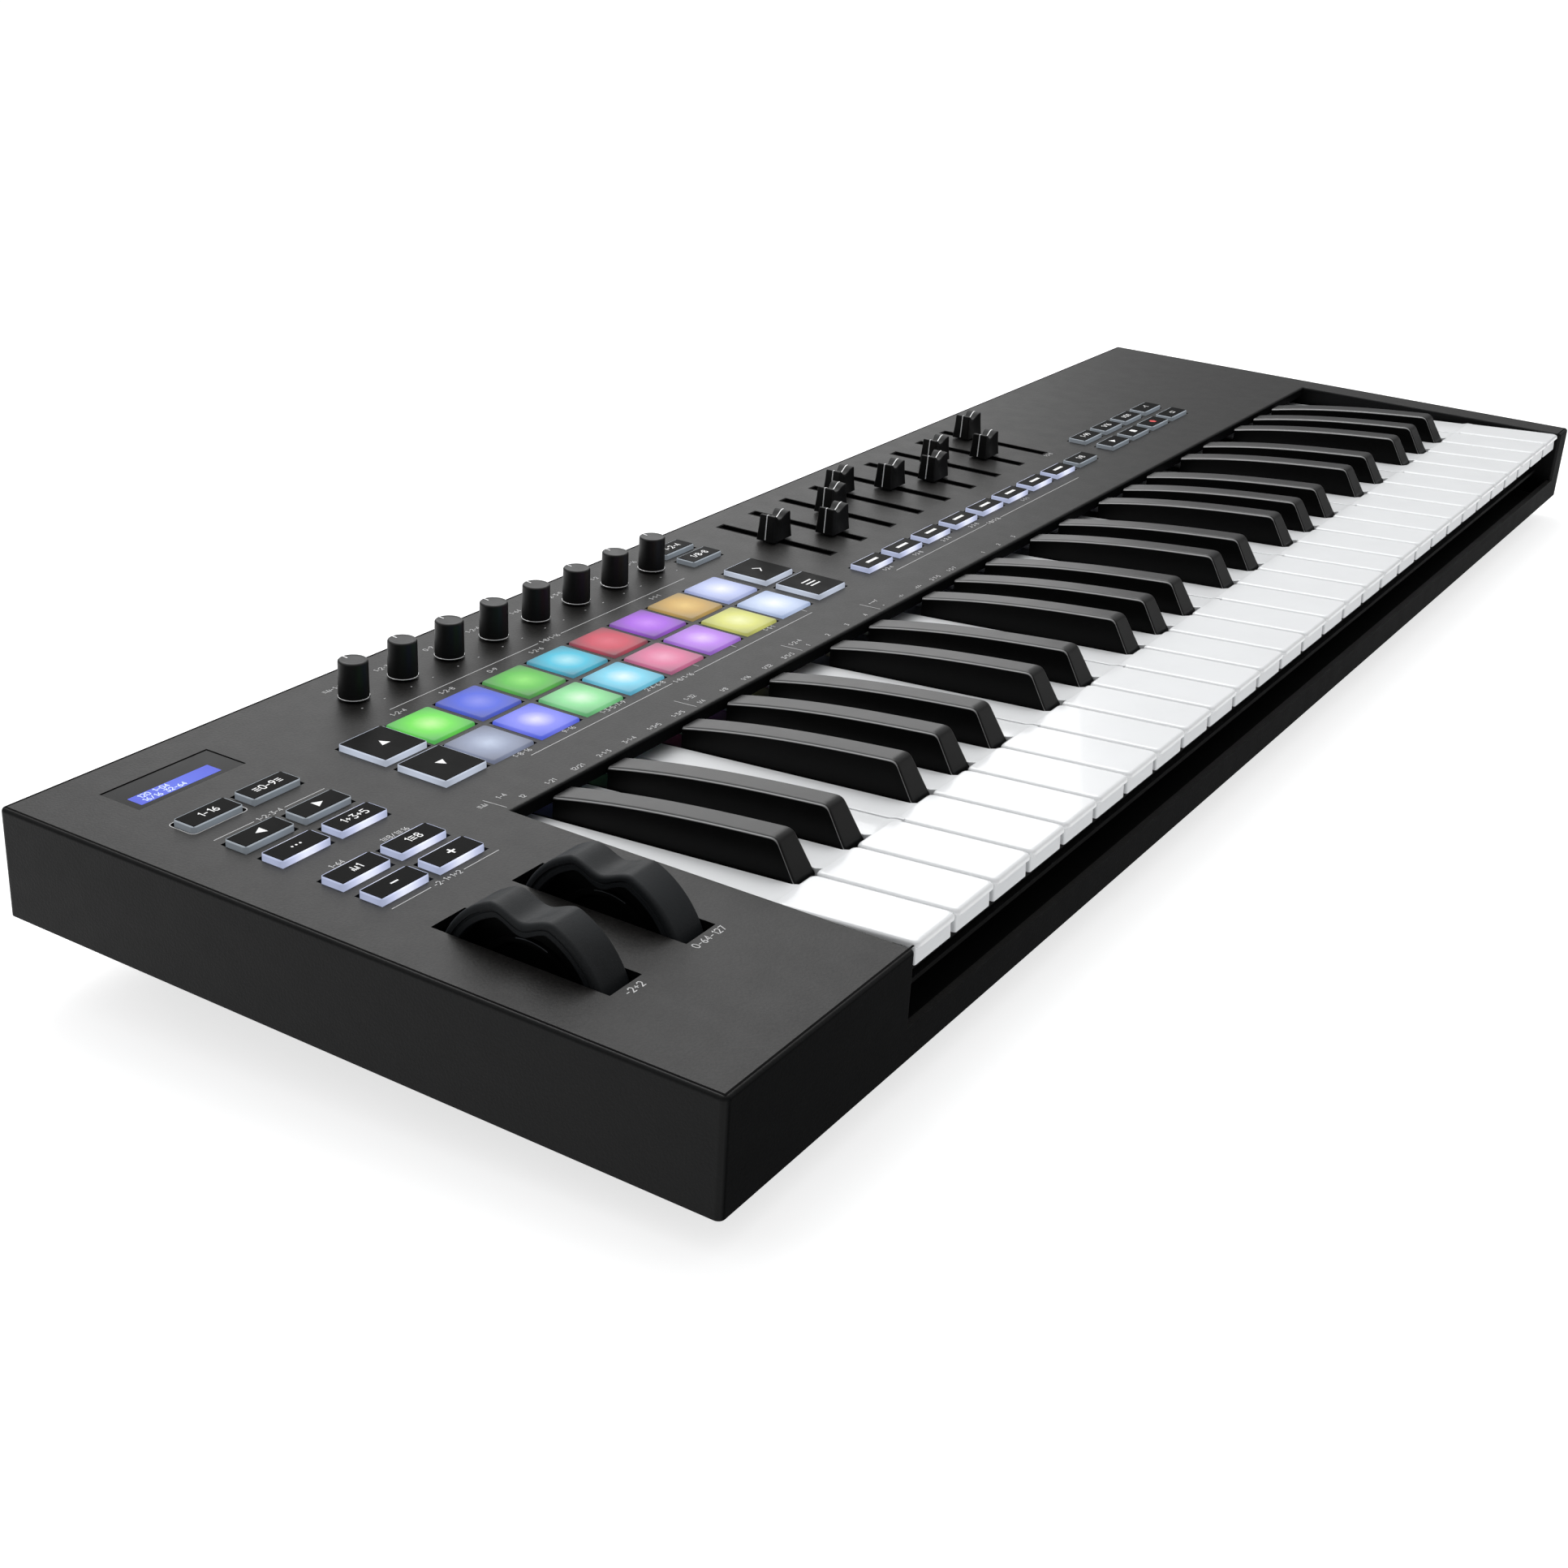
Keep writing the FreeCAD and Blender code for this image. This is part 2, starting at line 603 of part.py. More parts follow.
def add_lug(body, middle):
    """Hinge lug behind a key, bored for the hinge rod."""
    lug = new_sketch(body, "YZ_Plane", middle)
    polygon(lug, [
        ("tail_end - 4", "-key_depth"),
        ("hinge_back + 2", "-( hinge_drop + 3.6 )"),
        ("hinge_back + 3", "-( hinge_drop + 1.6 )"),
        ("lug_end", "-( hinge_drop + 1.2 )"),
        ("lug_end", "-2"),
        ("hinge_back + 2", "-1"),
        ("tail_end - 4", "-1"),
    ])
    pad(body, lug, "lug_width", midplane=True)
    bore = new_sketch(body, "YZ_Plane", middle)
    circle(bore, "hinge_back", "-hinge_drop", "rod_radius + rod_clearance")
    pocket(body, bore, "lug_width + 2", midplane=True)


def shape_white_key(body, index, beside_black=True):
    """One white key.  index counts white keys from the left; beside_black cuts its tail for black keys."""
    left = "key_pitch * %d + key_gap / 2" % index
    right = "key_pitch * %d - key_gap / 2" % (index + 1)
    tail_left, tail_right = left, right
    if beside_black:
        tail_left, tail_right = tail_edges(index, left, right)
    outline = [(left, "0"), (right, "0")]
    inside = [
        (left + " + key_skin", "skirt_back + key_skin"),
        (right + " - key_skin", "skirt_back + key_skin"),
    ]
    split = "notch_front - key_skin"
    if tail_right != right:
        outline += [(right, "notch_front"), (tail_right, "notch_front")]
        inside += [(right + " - key_skin", split), (tail_right + " - key_skin", split)]
    outline += [(tail_right, "tail_end"), (tail_left, "tail_end")]
    inside += [(tail_right + " - key_skin", "tail_end - 6"), (tail_left + " + key_skin", "tail_end - 6")]
    if tail_left != left:
        outline += [(tail_left, "notch_front"), (left, "notch_front")]
        inside += [(tail_left + " + key_skin", split), (left + " + key_skin", split)]
    plan = new_sketch(body, "XY_Plane", "-key_depth")
    polygon(plan, outline)
    pad(body, plan, "key_depth")

    # the skirt stands back under the front lip
    middle = "key_pitch * %s" % (index + 0.5)
    skirt = new_sketch(body, "YZ_Plane", middle)
    polygon(skirt, [
        ("-1", "-( key_depth + 1 )"),
        ("skirt_back", "-( key_depth + 1 )"),
        ("skirt_back", "-lip_thick"),
        ("-1", "-lip_thick"),
    ])
    pocket(body, skirt, "key_pitch", midplane=True)
    # the tail between the black keys lies a little lower than the front
    step = new_sketch(body, "YZ_Plane", middle)
    polygon(step, [
        ("tail_start", "0"),
        ("tail_start + ramp_length", "-tail_step"),
        ("tail_end + 1", "-tail_step"),
        ("tail_end + 1", "1"),
        ("tail_start", "1"),
    ])
    pocket(body, step, "key_pitch", midplane=True)
    hollow = new_sketch(body, "XY_Plane", "-( key_depth + 0.01 )")
    polygon(hollow, inside)
    pocket(body, hollow, "key_depth - tail_step - key_roof", upward=True)
    add_lug(body, "( %s + %s ) / 2" % (tail_left, tail_right))
    doc.recompute()

    tail_start = size("tail_start")
    key_left = size("key_pitch") * index + size("key_gap") / 2
    key_right = size("key_pitch") * (index + 1) - size("key_gap") / 2

    def lip_corner(box):
        return flat(box, "Y", 0) and (flat(box, "X", key_left) or flat(box, "X", key_right))

    def top_rim(box):
        here = box.XMin > key_left - 0.1 and box.XMax < key_right + 0.1
        return here and flat(box, "Z", 0) and box.YMin < tail_start - 1

    round_edges(body, "lip_corner", lip_corner)
    round_edges(body, "key_edge", top_rim)
    return plan


def build_white_key(name, index):
    """All the keys of one note name: the same key an octave apart, and the topmost C, which has no cut."""
    body = new_body("key_" + name, bed_place())
    plan = shape_white_key(body, index)
    repeat_whole(body, plan, OCTAVES, "key_pitch * 7")
    if index == 0:
        doc.recompute()
        shape_white_key(body, WHITE_KEYS - 1, beside_black=False)


def build_black_key(name, middle, count):
    body = new_body("key_" + name, bed_place())
    centre = "key_pitch * %s" % middle
    side = new_sketch(body, "YZ_Plane", centre)
    outline = [
        ("black_foot", "-key_depth"),
        ("black_foot", "-1"),
        ("black_nose - 3", "black_height - 1.6"),
        ("black_nose - 1.6", "black_height - 0.4"),
        ("black_nose", "black_height"),
    ]
    # the top falls away to the back along a flat parabola
    steps = 8
    for number in range(1, steps + 1):
        share = number / steps
        along = "black_nose + ( black_back - black_nose ) * %.4f" % share
        fall = 0.25 * share + 0.75 * share ** 2.6
        drop = "black_height - ( black_height - black_back_height ) * %.4f" % fall
        outline.append((along, drop))
    outline += [("black_back", "-1.2"), ("tail_end", "-1.2"), ("tail_end", "-key_depth")]
    polygon(side, outline)
    pad(body, side, "black_width", midplane=True)

    taper = new_sketch(body, "XZ_Plane")
    for sign in ("-", "+"):
        foot = "%s %s black_width / 2" % (centre, sign)
        top = "%s %s ( black_width / 2 - black_taper )" % (centre, sign)
        beyond = "%s %s ( black_width / 2 + 2 )" % (centre, sign)
        polygon(taper, [
            (foot, "-0.5"),
            (top, "black_height"),
            (top, "black_height + 2"),
            (beyond, "black_height + 2"),
            (beyond, "-0.5"),
        ])
    pocket(body, taper, "black_back + 40", upward=False)

    hollow = new_sketch(body, "XY_Plane", "-( key_depth + 0.01 )")
    long_middle = "( black_foot + tail_end ) / 2"
    rectangle(hollow, centre, long_middle, "black_width - key_skin * 2", "tail_end - black_foot - 12")
    pocket(body, hollow, "key_depth - 3", upward=True)
    add_lug(body, centre)
    repeat_whole(body, hollow, count, "key_pitch * 7")


LUG_PITCH = "key_pitch * 7 / 12"
FIRST_LUG = "7.5"
BED_LENGTH = "key_pitch * %d" % WHITE_KEYS
BED_TOP = "bed_plate - bed_drop"
# The frame's flanges stand inside the tub.
FLANGE_LENGTH = "case_width - tub_inset - wall - key_start - 8"
FLANGE_MIDDLE = "( %s ) / 2 + 4" % FLANGE_LENGTH


def build_key_frame():
    body = new_body("key_frame", bed_place())
    plate = new_sketch(body, "XY_Plane", "-bed_drop")
    polygon(plate, [
        ("0", "bed_front"),
        (BED_LENGTH, "bed_front"),
        (BED_LENGTH, "bed_back"),
        ("0", "bed_back"),
    ])
    pad(body, plate, "bed_plate")
    # upright front and back flanges stiffen the frame and rest it on the tub's floor
    flanges = new_sketch(body, "XY_Plane", "foot_height + wall - front_gap - key_top")
    for y in ("flange_front", "flange_back"):
        rectangle(flanges, FLANGE_MIDDLE, y, FLANGE_LENGTH, "flange_thick")
    pad(body, flanges, "0.5 - bed_drop - ( foot_height + wall - front_gap - key_top )")
    # brackets between the key lugs carry the hinge rod: beside every C and between every E and F
    brackets = (("0", OCTAVES), ("key_pitch * 3", OCTAVES), ("key_pitch * 28", 1), (BED_LENGTH, 1))
    for first, count in brackets:
        bracket = new_sketch(body, "YZ_Plane", "%s - flange_thick / 2" % first)
        polygon(bracket, [
            ("hinge_back - 9", "1 - bed_drop"),
            ("hinge_back + 9", "1 - bed_drop"),
            ("hinge_back + 5", "3 - hinge_drop"),
            ("hinge_back - 4", "3 - hinge_drop"),
        ])
        plate_feature = pad(body, bracket, "flange_thick")
        if count > 1:
            along = new_sketch(body, "XY_Plane")
            doc.recompute()
            repeat(body, along, plate_feature, count, "key_pitch * 7")
            doc.recompute()
    bore = new_sketch(body, "YZ_Plane", "-2")
    circle(bore, "hinge_back", "-hinge_drop", "rod_radius")
    pocket(body, bore, BED_LENGTH + " + 4", upward=True)
    # a ledge behind the lugs carries their rest felt and the spring comb
    ledge = new_sketch(body, "XY_Plane", "1 - bed_drop")
    rectangle(ledge, BED_LENGTH + " / 2", "ledge_middle", BED_LENGTH, "ledge_depth")
    pad(body, ledge, "bed_drop - 1 - spring_thick")


def build_hinge_rod():
    body = new_body("key_hinge_rod", bed_place())
    sketch = new_sketch(body, "YZ_Plane", "-1.2")
    circle(sketch, "hinge_back", "-hinge_drop", "rod_radius")
    pad(body, sketch, BED_LENGTH + " + 2.4")


def build_key_springs():
    """A comb of spring steel: one finger reaches over the tail of every lug and holds it down."""
    body = new_body("key_springs", bed_place())
    strip = new_sketch(body, "XY_Plane", "-spring_thick")
    rectangle(strip, BED_LENGTH + " / 2", "ledge_middle", BED_LENGTH, "ledge_depth")
    pad(body, strip, "spring_thick")
    finger = new_sketch(body, "XY_Plane", "-spring_thick")
    rectangle(finger, FIRST_LUG, "spring_reach", "spring_finger * 4 / 7", "spring_finger")
    feature = pad(body, finger, "spring_thick")
    doc.recompute()
    repeat(body, finger, feature, KEY_COUNT, LUG_PITCH)


def build_key_felts():
    body = new_body("key_felts", bed_place())
    front = new_sketch(body, "XY_Plane", BED_TOP)
    rectangle(front, BED_LENGTH + " / 2", "felt_middle", BED_LENGTH + " - 4", "felt_depth")
    pad(body, front, "1.5")


def build_contact_board():
    body = new_body("contact_board", bed_place())
    sketch = new_sketch(body, "XY_Plane", BED_TOP)
    rectangle(sketch, BED_LENGTH + " / 2", "contact_middle", BED_LENGTH + " - 4", "contact_depth")
    pad(body, sketch, "board_thick")


def build_contact_strip():
    """Silicone strip with a contact dome under every key."""
    body = new_body("contact_strip", bed_place())
    level = BED_TOP + " + board_thick"
    strip = new_sketch(body, "XY_Plane", level)
    rectangle(strip, BED_LENGTH + " / 2", "contact_middle", BED_LENGTH + " - 8", "strip_depth")
    pad(body, strip, "0.8")
    dome = new_sketch(body, "XY_Plane", level)
    circle(dome, FIRST_LUG, "contact_middle", "contact_radius")
    feature = pad(body, dome, "contact_height")
    doc.recompute()
    repeat(body, dome, feature, KEY_COUNT, LUG_PITCH)


# ---------------------------------------------------------------- buttons and pads

def build_buttons(label, places, width, depth, rise, count=1, pitch="0"):
    """Keycaps through the panel, each with a retaining flange and a plunger above its switch."""
    body = new_body(label, case_place())
    foot = "control_board_top + dome_height + button_travel_room"
    cap = new_sketch(body, "XY_Plane", foot)
    for x, y in places:
        rectangle(cap, x, y, width, depth)
    pad(body, cap, "case_height + %s - ( %s )" % (rise, foot))
    top = size("case_height") + size(rise)
    round_edges(body, "0.7", lambda box: box.ZLength > 2)
    round_edges(body, "0.4", lambda box: flat(box, "Z", top))
    flange = new_sketch(body, "XY_Plane", foot)
    for x, y in places:
        rectangle(flange, x, y, width + " + 1.8", depth + " + 1.8")
    pad(body, flange, "case_height - wall - 0.4 - ( %s )" % foot)
    if count > 1:
        repeat_whole(body, cap, count, pitch)


def build_all_buttons():
    long_button = ("button_width", "button_depth", "button_rise")
    rows = {
        "setup_buttons": ["setup_row"],
        "track_buttons": ["track_row"],
        "mode_buttons": ["chord_row", "scale_row"],
        "octave_buttons": ["octave_row"],
    }
    for label, names in rows.items():
        build_buttons(label, [("left_column", row) for row in names], *long_button, 2, "left_pitch")
    pad_rows = ["upper_row", "lower_row"]
    scene = [("scene_left", row) for row in pad_rows]
    square = ("square_size", "square_size", "button_rise")
    build_buttons("scene_buttons", scene, *square, 2, "scene_right - scene_left")
    device = [("device_column", row) for row in ("device_low_row", "device_high_row")]
    build_buttons("device_buttons", device, *long_button)
    fader = [("fader_button_column", "fader_button_row")]
    build_buttons("fader_buttons", fader, *long_button, FADERS, "fader_button_pitch")
    transport = [("transport_column", row) for row in ("transport_low_row", "transport_high_row")]
    build_buttons("transport_buttons", transport, *long_button, 4, "transport_pitch")
    for label, row in (("upper_pads", "upper_row"), ("lower_pads", "lower_row")):
        build_buttons(label, [("pad_column", row)], "pad_size", "pad_size", "pad_rise", 8, "panel_pitch")


# ---------------------------------------------------------------- knobs and faders

def build_knobs():
    for number in range(KNOBS):
        x = size("knob_column") + size("knob_pitch") * number
        place = case_place(x, size("knob_row"), size("case_height"))
        body = new_body("knob_%d" % (number + 1), place)
        profile = new_sketch(body, "XZ_Plane")
        polygon(profile, [
            ("0", "knob_lift + 9"),
            ("pot_shaft_radius + shaft_clearance", "knob_lift + 9"),
            ("pot_shaft_radius + shaft_clearance", "knob_lift"),
            ("knob_radius", "knob_lift"),
            ("knob_radius", "knob_lift + 1.4"),
            ("knob_radius - 0.25", "knob_lift + 1.6"),
            ("knob_top_radius", "knob_height - 0.6"),
            ("knob_top_radius - 0.6", "knob_height"),
            ("0", "knob_height"),
        ])
        revolve(body, profile)


def build_knob_pots():
    body = new_body("knob_pots", case_place())
    can = new_sketch(body, "XY_Plane", "control_board_top")
    rectangle(can, "knob_column", "knob_row", "9.6", "9.6")
    pad(body, can, "case_height - wall - 0.3 - control_board_top")
    shaft = new_sketch(body, "XY_Plane", "control_board_top + 1")
    circle(shaft, "knob_column", "knob_row", "pot_shaft_radius")
    pad(body, shaft, "case_height + knob_lift + 8.6 - control_board_top - 1")
    repeat_whole(body, can, KNOBS, "knob_pitch")


def build_fader_caps():
    for number in range(FADERS):
        x = size("fader_column") + size("fader_pitch") * number
        y = size("fader_front") + FADER_REST[number]
        body = new_body("fader_cap_%d" % (number + 1), case_place(x, y, size("case_height")))
        side = new_sketch(body, "XZ_Plane")
        polygon(side, [
            ("-cap_width / 2", "cap_lift"),
            ("cap_width / 2", "cap_lift"),
            ("cap_width / 2 - 0.8", "cap_height"),
            ("cap_width / 2 - 2.4", "cap_height - 0.5"),
            ("0", "cap_height - 2"),
            ("-cap_width / 2 + 2.4", "cap_height - 0.5"),
            ("-cap_width / 2 + 0.8", "cap_height"),
        ])
        pad(body, side, "cap_length", midplane=True)
        stem = new_sketch(body, "XY_Plane", "-( wall + 5 )")
        rectangle(stem, "0", "0", "stem_width", "stem_length")
        pad(body, stem, "wall + 5 + cap_lift + 1")


def build_fader_units():
    """Slide potentiometers hung under the panel, each a long can with a slot in its lid."""
    body = new_body("fader_units", case_place())
    middle = "( fader_front + fader_back ) / 2"
    length = "fader_back - fader_front"
    can = new_sketch(body, "XY_Plane", "case_height - wall - 9.5")
    rectangle(can, "fader_column", middle, "9", length + " + 8")
    pad(body, can, "9")
    hollow = new_sketch(body, "XY_Plane", "case_height - wall - 0.5")
    rectangle(hollow, "fader_column", middle, "stem_width + 1", length + " + 1")
    pocket(body, hollow, "6.5")
    repeat_whole(body, can, FADERS, "fader_pitch")


# ---------------------------------------------------------------- wheels

def build_wheel(label, middle):
    """Sector wheel: rubber rim with a finger scoop, thin web and a bored hub."""
    place = case_place(size(middle), size("wheel_y"), size("wheel_z"))
    body = new_body(label, place)
    outer = size("wheel_radius")
    inner = outer - size("wheel_rim")
    half = math.radians(size("scoop_half_angle"))
    ends = math.radians(-9)
    steps = 10

    def rim(radius, deepest, reverse=False):
        points = []
        for number in range(steps + 1):
            angle = ends + (math.pi / 2 - half - ends) * number / steps
            points.append((radius * math.cos(angle), radius * math.sin(angle)))
        for number in range(1, steps):
            share = number / steps
            angle = math.pi / 2 - half + 2 * half * share
            dip = deepest * math.sin(math.pi * share) ** 2
            points.append(((radius - dip) * math.cos(angle), (radius - dip) * math.sin(angle)))
        mirrored = [(-y, z) for y, z in points[:steps + 1]]
        points += mirrored[::-1]
        return points[::-1] if reverse else points

    texts = [("%.3f" % y, "%.3f" % z) for y, z in rim(outer, size("scoop_depth"))]
    side = new_sketch(body, "YZ_Plane")
    polygon(side, texts)
    pad(body, side, "wheel_width", midplane=True)
    for sign in (1, -1):
        recess = new_sketch(body, "YZ_Plane", "%d * wheel_width / 2" % sign)
        deepest = size("scoop_depth")
        polygon(recess, [("%.3f" % y, "%.3f" % z) for y, z in rim(inner, deepest)])
        pocket(body, recess, "wheel_width / 2 - 1.6", upward=(sign < 0))
    hub = new_sketch(body, "YZ_Plane")
    circle(hub, "0", "0", "axle_radius + 4")
    pad(body, hub, "wheel_width", midplane=True)
    bore = new_sketch(body, "YZ_Plane")
    circle(bore, "0", "0", "axle_radius + axle_clearance")
    pocket(body, bore, "wheel_width + 4", midplane=True)


BRACKET_PLATES = ["pitch_wheel_x - 13", "pitch_wheel_x + 11", "mod_wheel_x - 12", "mod_wheel_x + 11"]


def build_wheel_bracket():
    body = new_body("wheel_bracket", case_place())
    base = new_sketch(body, "XY_Plane", "wall")
    polygon(base, [
        ("bracket_left", "bracket_front"),
        ("bracket_right", "bracket_front"),
        ("bracket_right", "bracket_back"),
        ("bracket_left", "bracket_back"),
    ])
    pad(body, base, "1.4")
    plate_top = "wheel_z + 7.8"
    for start in BRACKET_PLATES:
        plate = new_sketch(body, "YZ_Plane", start)
        polygon(plate, [
            ("bracket_front", "wall"),
            ("bracket_back", "wall"),
            ("bracket_back - 5", plate_top),
            ("bracket_front + 5", plate_top),
        ])
        pad(body, plate, "bracket_thick")
    axles = (("pitch_wheel_x - 12", "24"), ("mod_wheel_x - 11", "23"))
    for start, length in axles:
        axle = new_sketch(body, "YZ_Plane", start)
        circle(axle, "wheel_y", "wheel_z", "axle_radius")
        pad(body, axle, length)


def build_pitch_spring():
    """Coils of the spring that centres the pitch wheel."""
    body = new_body("pitch_spring", case_place(size("pitch_wheel_x") + 7.6, size("wheel_y"), size("wheel_z")))
    coil = new_sketch(body, "XZ_Plane")
    body.Placement = body.Placement.multiply(Placement(Vector(0, 0, 0), Rotation(Vector(0, 1, 0), 90)))
    circle(coil, "axle_radius + 1", "0", "0.4")
    revolve(body, coil)
    doc.recompute()
    repeat_whole(body, coil, 4, "0.85", "V_Axis")


# ---------------------------------------------------------------- boards, display and sockets

def build_control_board():
    body = new_body("control_board", case_place())
    sketch = new_sketch(body, "XY_Plane", "control_board_top - board_thick")
    polygon(sketch, CONTROL_BOARD)
    pad(body, sketch, "board_thick")


def build_main_board():
    """Processor board behind the keys, which carries the sockets on its back edge."""
    body = new_body("main_board", case_place())
    sketch = new_sketch(body, "XY_Plane", MAIN_BOARD_LEVEL)
    polygon(sketch, MAIN_BOARD)
    pad(body, sketch, "board_thick")
    chips = new_sketch(body, "XY_Plane", MAIN_BOARD_LEVEL + " + board_thick - 0.2")
    for x, y, width, depth in CHIPS:
        rectangle(chips, x, y, width, depth)
    pad(body, chips, "1.8")


def build_sockets():
    """Computer socket, 6.35 mm pedal jack and a round five-pin socket, on the back edge of the board."""
    body = new_body("rear_sockets", case_place())
    for kind, x in SOCKETS:
        width, height, length = SOCKET_BLOCKS[kind]
        block = new_sketch(body, "XZ_Plane", "-( case_depth - wall - 0.1 )")
        low = MAIN_BOARD_LEVEL + " + board_thick"
        rectangle(block, x, "( %s + %s ) / 2" % (low, height), width, "%s - ( %s )" % (height, low))
        pad(body, block, length)
    for kind, x in SOCKETS:
        nose = new_sketch(body, "XZ_Plane", "-( case_depth - 0.3 )")
        if kind == "usb":
            rectangle(nose, x, SOCKET_HEIGHT, USB_WIDTH + " - 0.4", USB_HEIGHT + " - 0.4")
        else:
            circle(nose, x, SOCKET_HEIGHT, (SOCKET_RADIUS if kind == "round" else JACK_NUT_RADIUS) + " - 0.2")
        pad(body, nose, "wall + 0.8")
    # the holes that plugs go into
    mouth = new_sketch(body, "XZ_Plane", "-( case_depth + 0.5 )")
    rectangle(mouth, SOCKETS[0][1], SOCKET_HEIGHT, "usb_mouth_width", "usb_mouth_height")
    circle(mouth, SOCKETS[2][1], SOCKET_HEIGHT, "round_mouth")
    pocket(body, mouth, "mouth_depth", upward=True)
    bore = new_sketch(body, "XZ_Plane", "-( case_depth + 0.5 )")
    circle(bore, SOCKETS[1][1], SOCKET_HEIGHT, "jack_radius")
    pocket(body, bore, "jack_depth", upward=True)


def build_display():
    module = new_body("display_module", case_place())
    sketch = new_sketch(module, "XY_Plane", "control_board_top")
    rectangle(sketch, "window_x", "window_y", "window_width - 1", "window_depth - 1")
    pad(module, sketch, "case_height - 1.6 - control_board_top")
    window = new_body("display_window", case_place())
    glass = new_sketch(window, "XY_Plane", "case_height - 1.5")
    rectangle(glass, "window_x", "window_y", "window_width - 0.2", "window_depth - 0.2")
    pad(window, glass, "1.4")


# ---------------------------------------------------------------- the whole object

def build_keys():
    for index, name in enumerate(WHITE_NAMES):
        build_white_key(name, index)
    for name, middle in BLACK_KEYS:
        build_black_key(name, middle, OCTAVES)


def check_and_write():
    doc.recompute()
    for item in doc.Objects:
        if "Invalid" in item.State or "Error" in item.State:
            raise RuntimeError("%s did not build: %s" % (item.Name, item.State))
    os.makedirs("parts", exist_ok=True)
    for body in parts:
        shape = body.Shape
        if shape.isNull() or not shape.isValid() or not shape.Solids:
            raise RuntimeError("%s has no valid solid" % body.Label)
        shape.exportStep("parts/%s.step" % body.Label)
        print("%-18s %2d solids %10.1f mm3" % (body.Label, len(shape.Solids), shape.Volume))


build_top_case()
build_bottom_case()
build_feet()
build_screws()
build_keys()
build_key_frame()
build_hinge_rod()
build_key_springs()
build_key_felts()
build_contact_board()
build_contact_strip()
build_all_buttons()
build_knobs()
build_knob_pots()
build_fader_caps()
build_fader_units()
build_wheel("pitch_wheel", "pitch_wheel_x")
build_wheel("mod_wheel", "mod_wheel_x")
build_wheel_bracket()
build_pitch_spring()
build_control_board()
build_main_board()
build_sockets()
build_display()
check_and_write()
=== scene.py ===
import bmesh
import bpy
import json
import math
from collections import namedtuple
from mathutils import Matrix, Vector


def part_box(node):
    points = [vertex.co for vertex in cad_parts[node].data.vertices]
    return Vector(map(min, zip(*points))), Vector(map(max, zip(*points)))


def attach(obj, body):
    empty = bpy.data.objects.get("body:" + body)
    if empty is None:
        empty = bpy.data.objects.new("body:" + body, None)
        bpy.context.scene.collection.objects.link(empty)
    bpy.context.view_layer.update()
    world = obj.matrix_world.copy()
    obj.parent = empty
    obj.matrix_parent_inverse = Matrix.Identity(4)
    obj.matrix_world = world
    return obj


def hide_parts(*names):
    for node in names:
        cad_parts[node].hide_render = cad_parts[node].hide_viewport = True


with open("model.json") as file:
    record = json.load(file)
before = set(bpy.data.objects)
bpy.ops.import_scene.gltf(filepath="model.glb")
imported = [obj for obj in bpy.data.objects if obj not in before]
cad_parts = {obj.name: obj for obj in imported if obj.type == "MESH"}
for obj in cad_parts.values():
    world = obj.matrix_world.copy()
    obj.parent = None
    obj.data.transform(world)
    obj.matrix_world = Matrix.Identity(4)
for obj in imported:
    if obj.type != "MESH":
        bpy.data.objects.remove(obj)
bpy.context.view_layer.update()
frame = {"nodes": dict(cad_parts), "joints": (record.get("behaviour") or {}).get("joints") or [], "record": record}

# A 49-key controller keyboard.  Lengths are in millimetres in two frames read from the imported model:
#   CASE: origin at the casing's front left bottom corner, X right, Y back along the panel, Z out of it.
#   BED:  level, with its origin at the front edge and the top surface of the white keys.

MM = 0.001
JOINTS = {joint["name"]: joint for joint in frame["joints"]}
UP = Vector(JOINTS["knob_1_turn"]["axis"]).normalized()
BACK = Vector(JOINTS["fader_cap_1_slide"]["axis"]).normalized()
RIGHT = BACK.cross(UP).normalized()


def span(node, axis):
    """How far a CAD node reaches along an axis, from and to, in metres."""
    reaches = [axis.dot(vertex.co) for vertex in frame["nodes"][node].data.vertices]
    return min(reaches), max(reaches)


SPANS = [span("top_case", axis) for axis in (RIGHT, BACK, UP)]
WIDTH, DEPTH, PANEL = ((high - low) / MM for low, high in SPANS)
CORNER = sum((axis * low for axis, (low, _) in zip((RIGHT, BACK, UP), SPANS)), Vector())
TURN = Matrix((RIGHT, BACK, UP)).transposed().to_4x4()
CASE = Matrix.Translation(CORNER) @ TURN @ Matrix.Scale(MM, 4)
TO_CASE = CASE.inverted()
KEYS_LOW, KEYS_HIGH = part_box("key_c")
BED = Matrix.Translation((0, KEYS_LOW.y, KEYS_HIGH.z)) @ Matrix.Scale(MM, 4)
TO_BED = BED.inverted()

Cap = namedtuple("Cap", "x y wide deep top")


def solids(node):
    """The points of each separate solid of a CAD node, in metres."""
    mesh = bmesh.new()
    mesh.from_mesh(frame["nodes"][node].data)
    bmesh.ops.remove_doubles(mesh, verts=mesh.verts, dist=1e-6)
    left = set(mesh.verts)
    found = []
    for start in mesh.verts:
        if start not in left:
            continue
        left.remove(start)
        waiting = [start]
        island = []
        while waiting:
            vertex = waiting.pop()
            island.append(vertex.co.copy())
            for edge in vertex.link_edges:
                other = edge.other_vert(vertex)
                if other in left:
                    left.remove(other)
                    waiting.append(other)
        found.append(island)
    mesh.free()
    return found


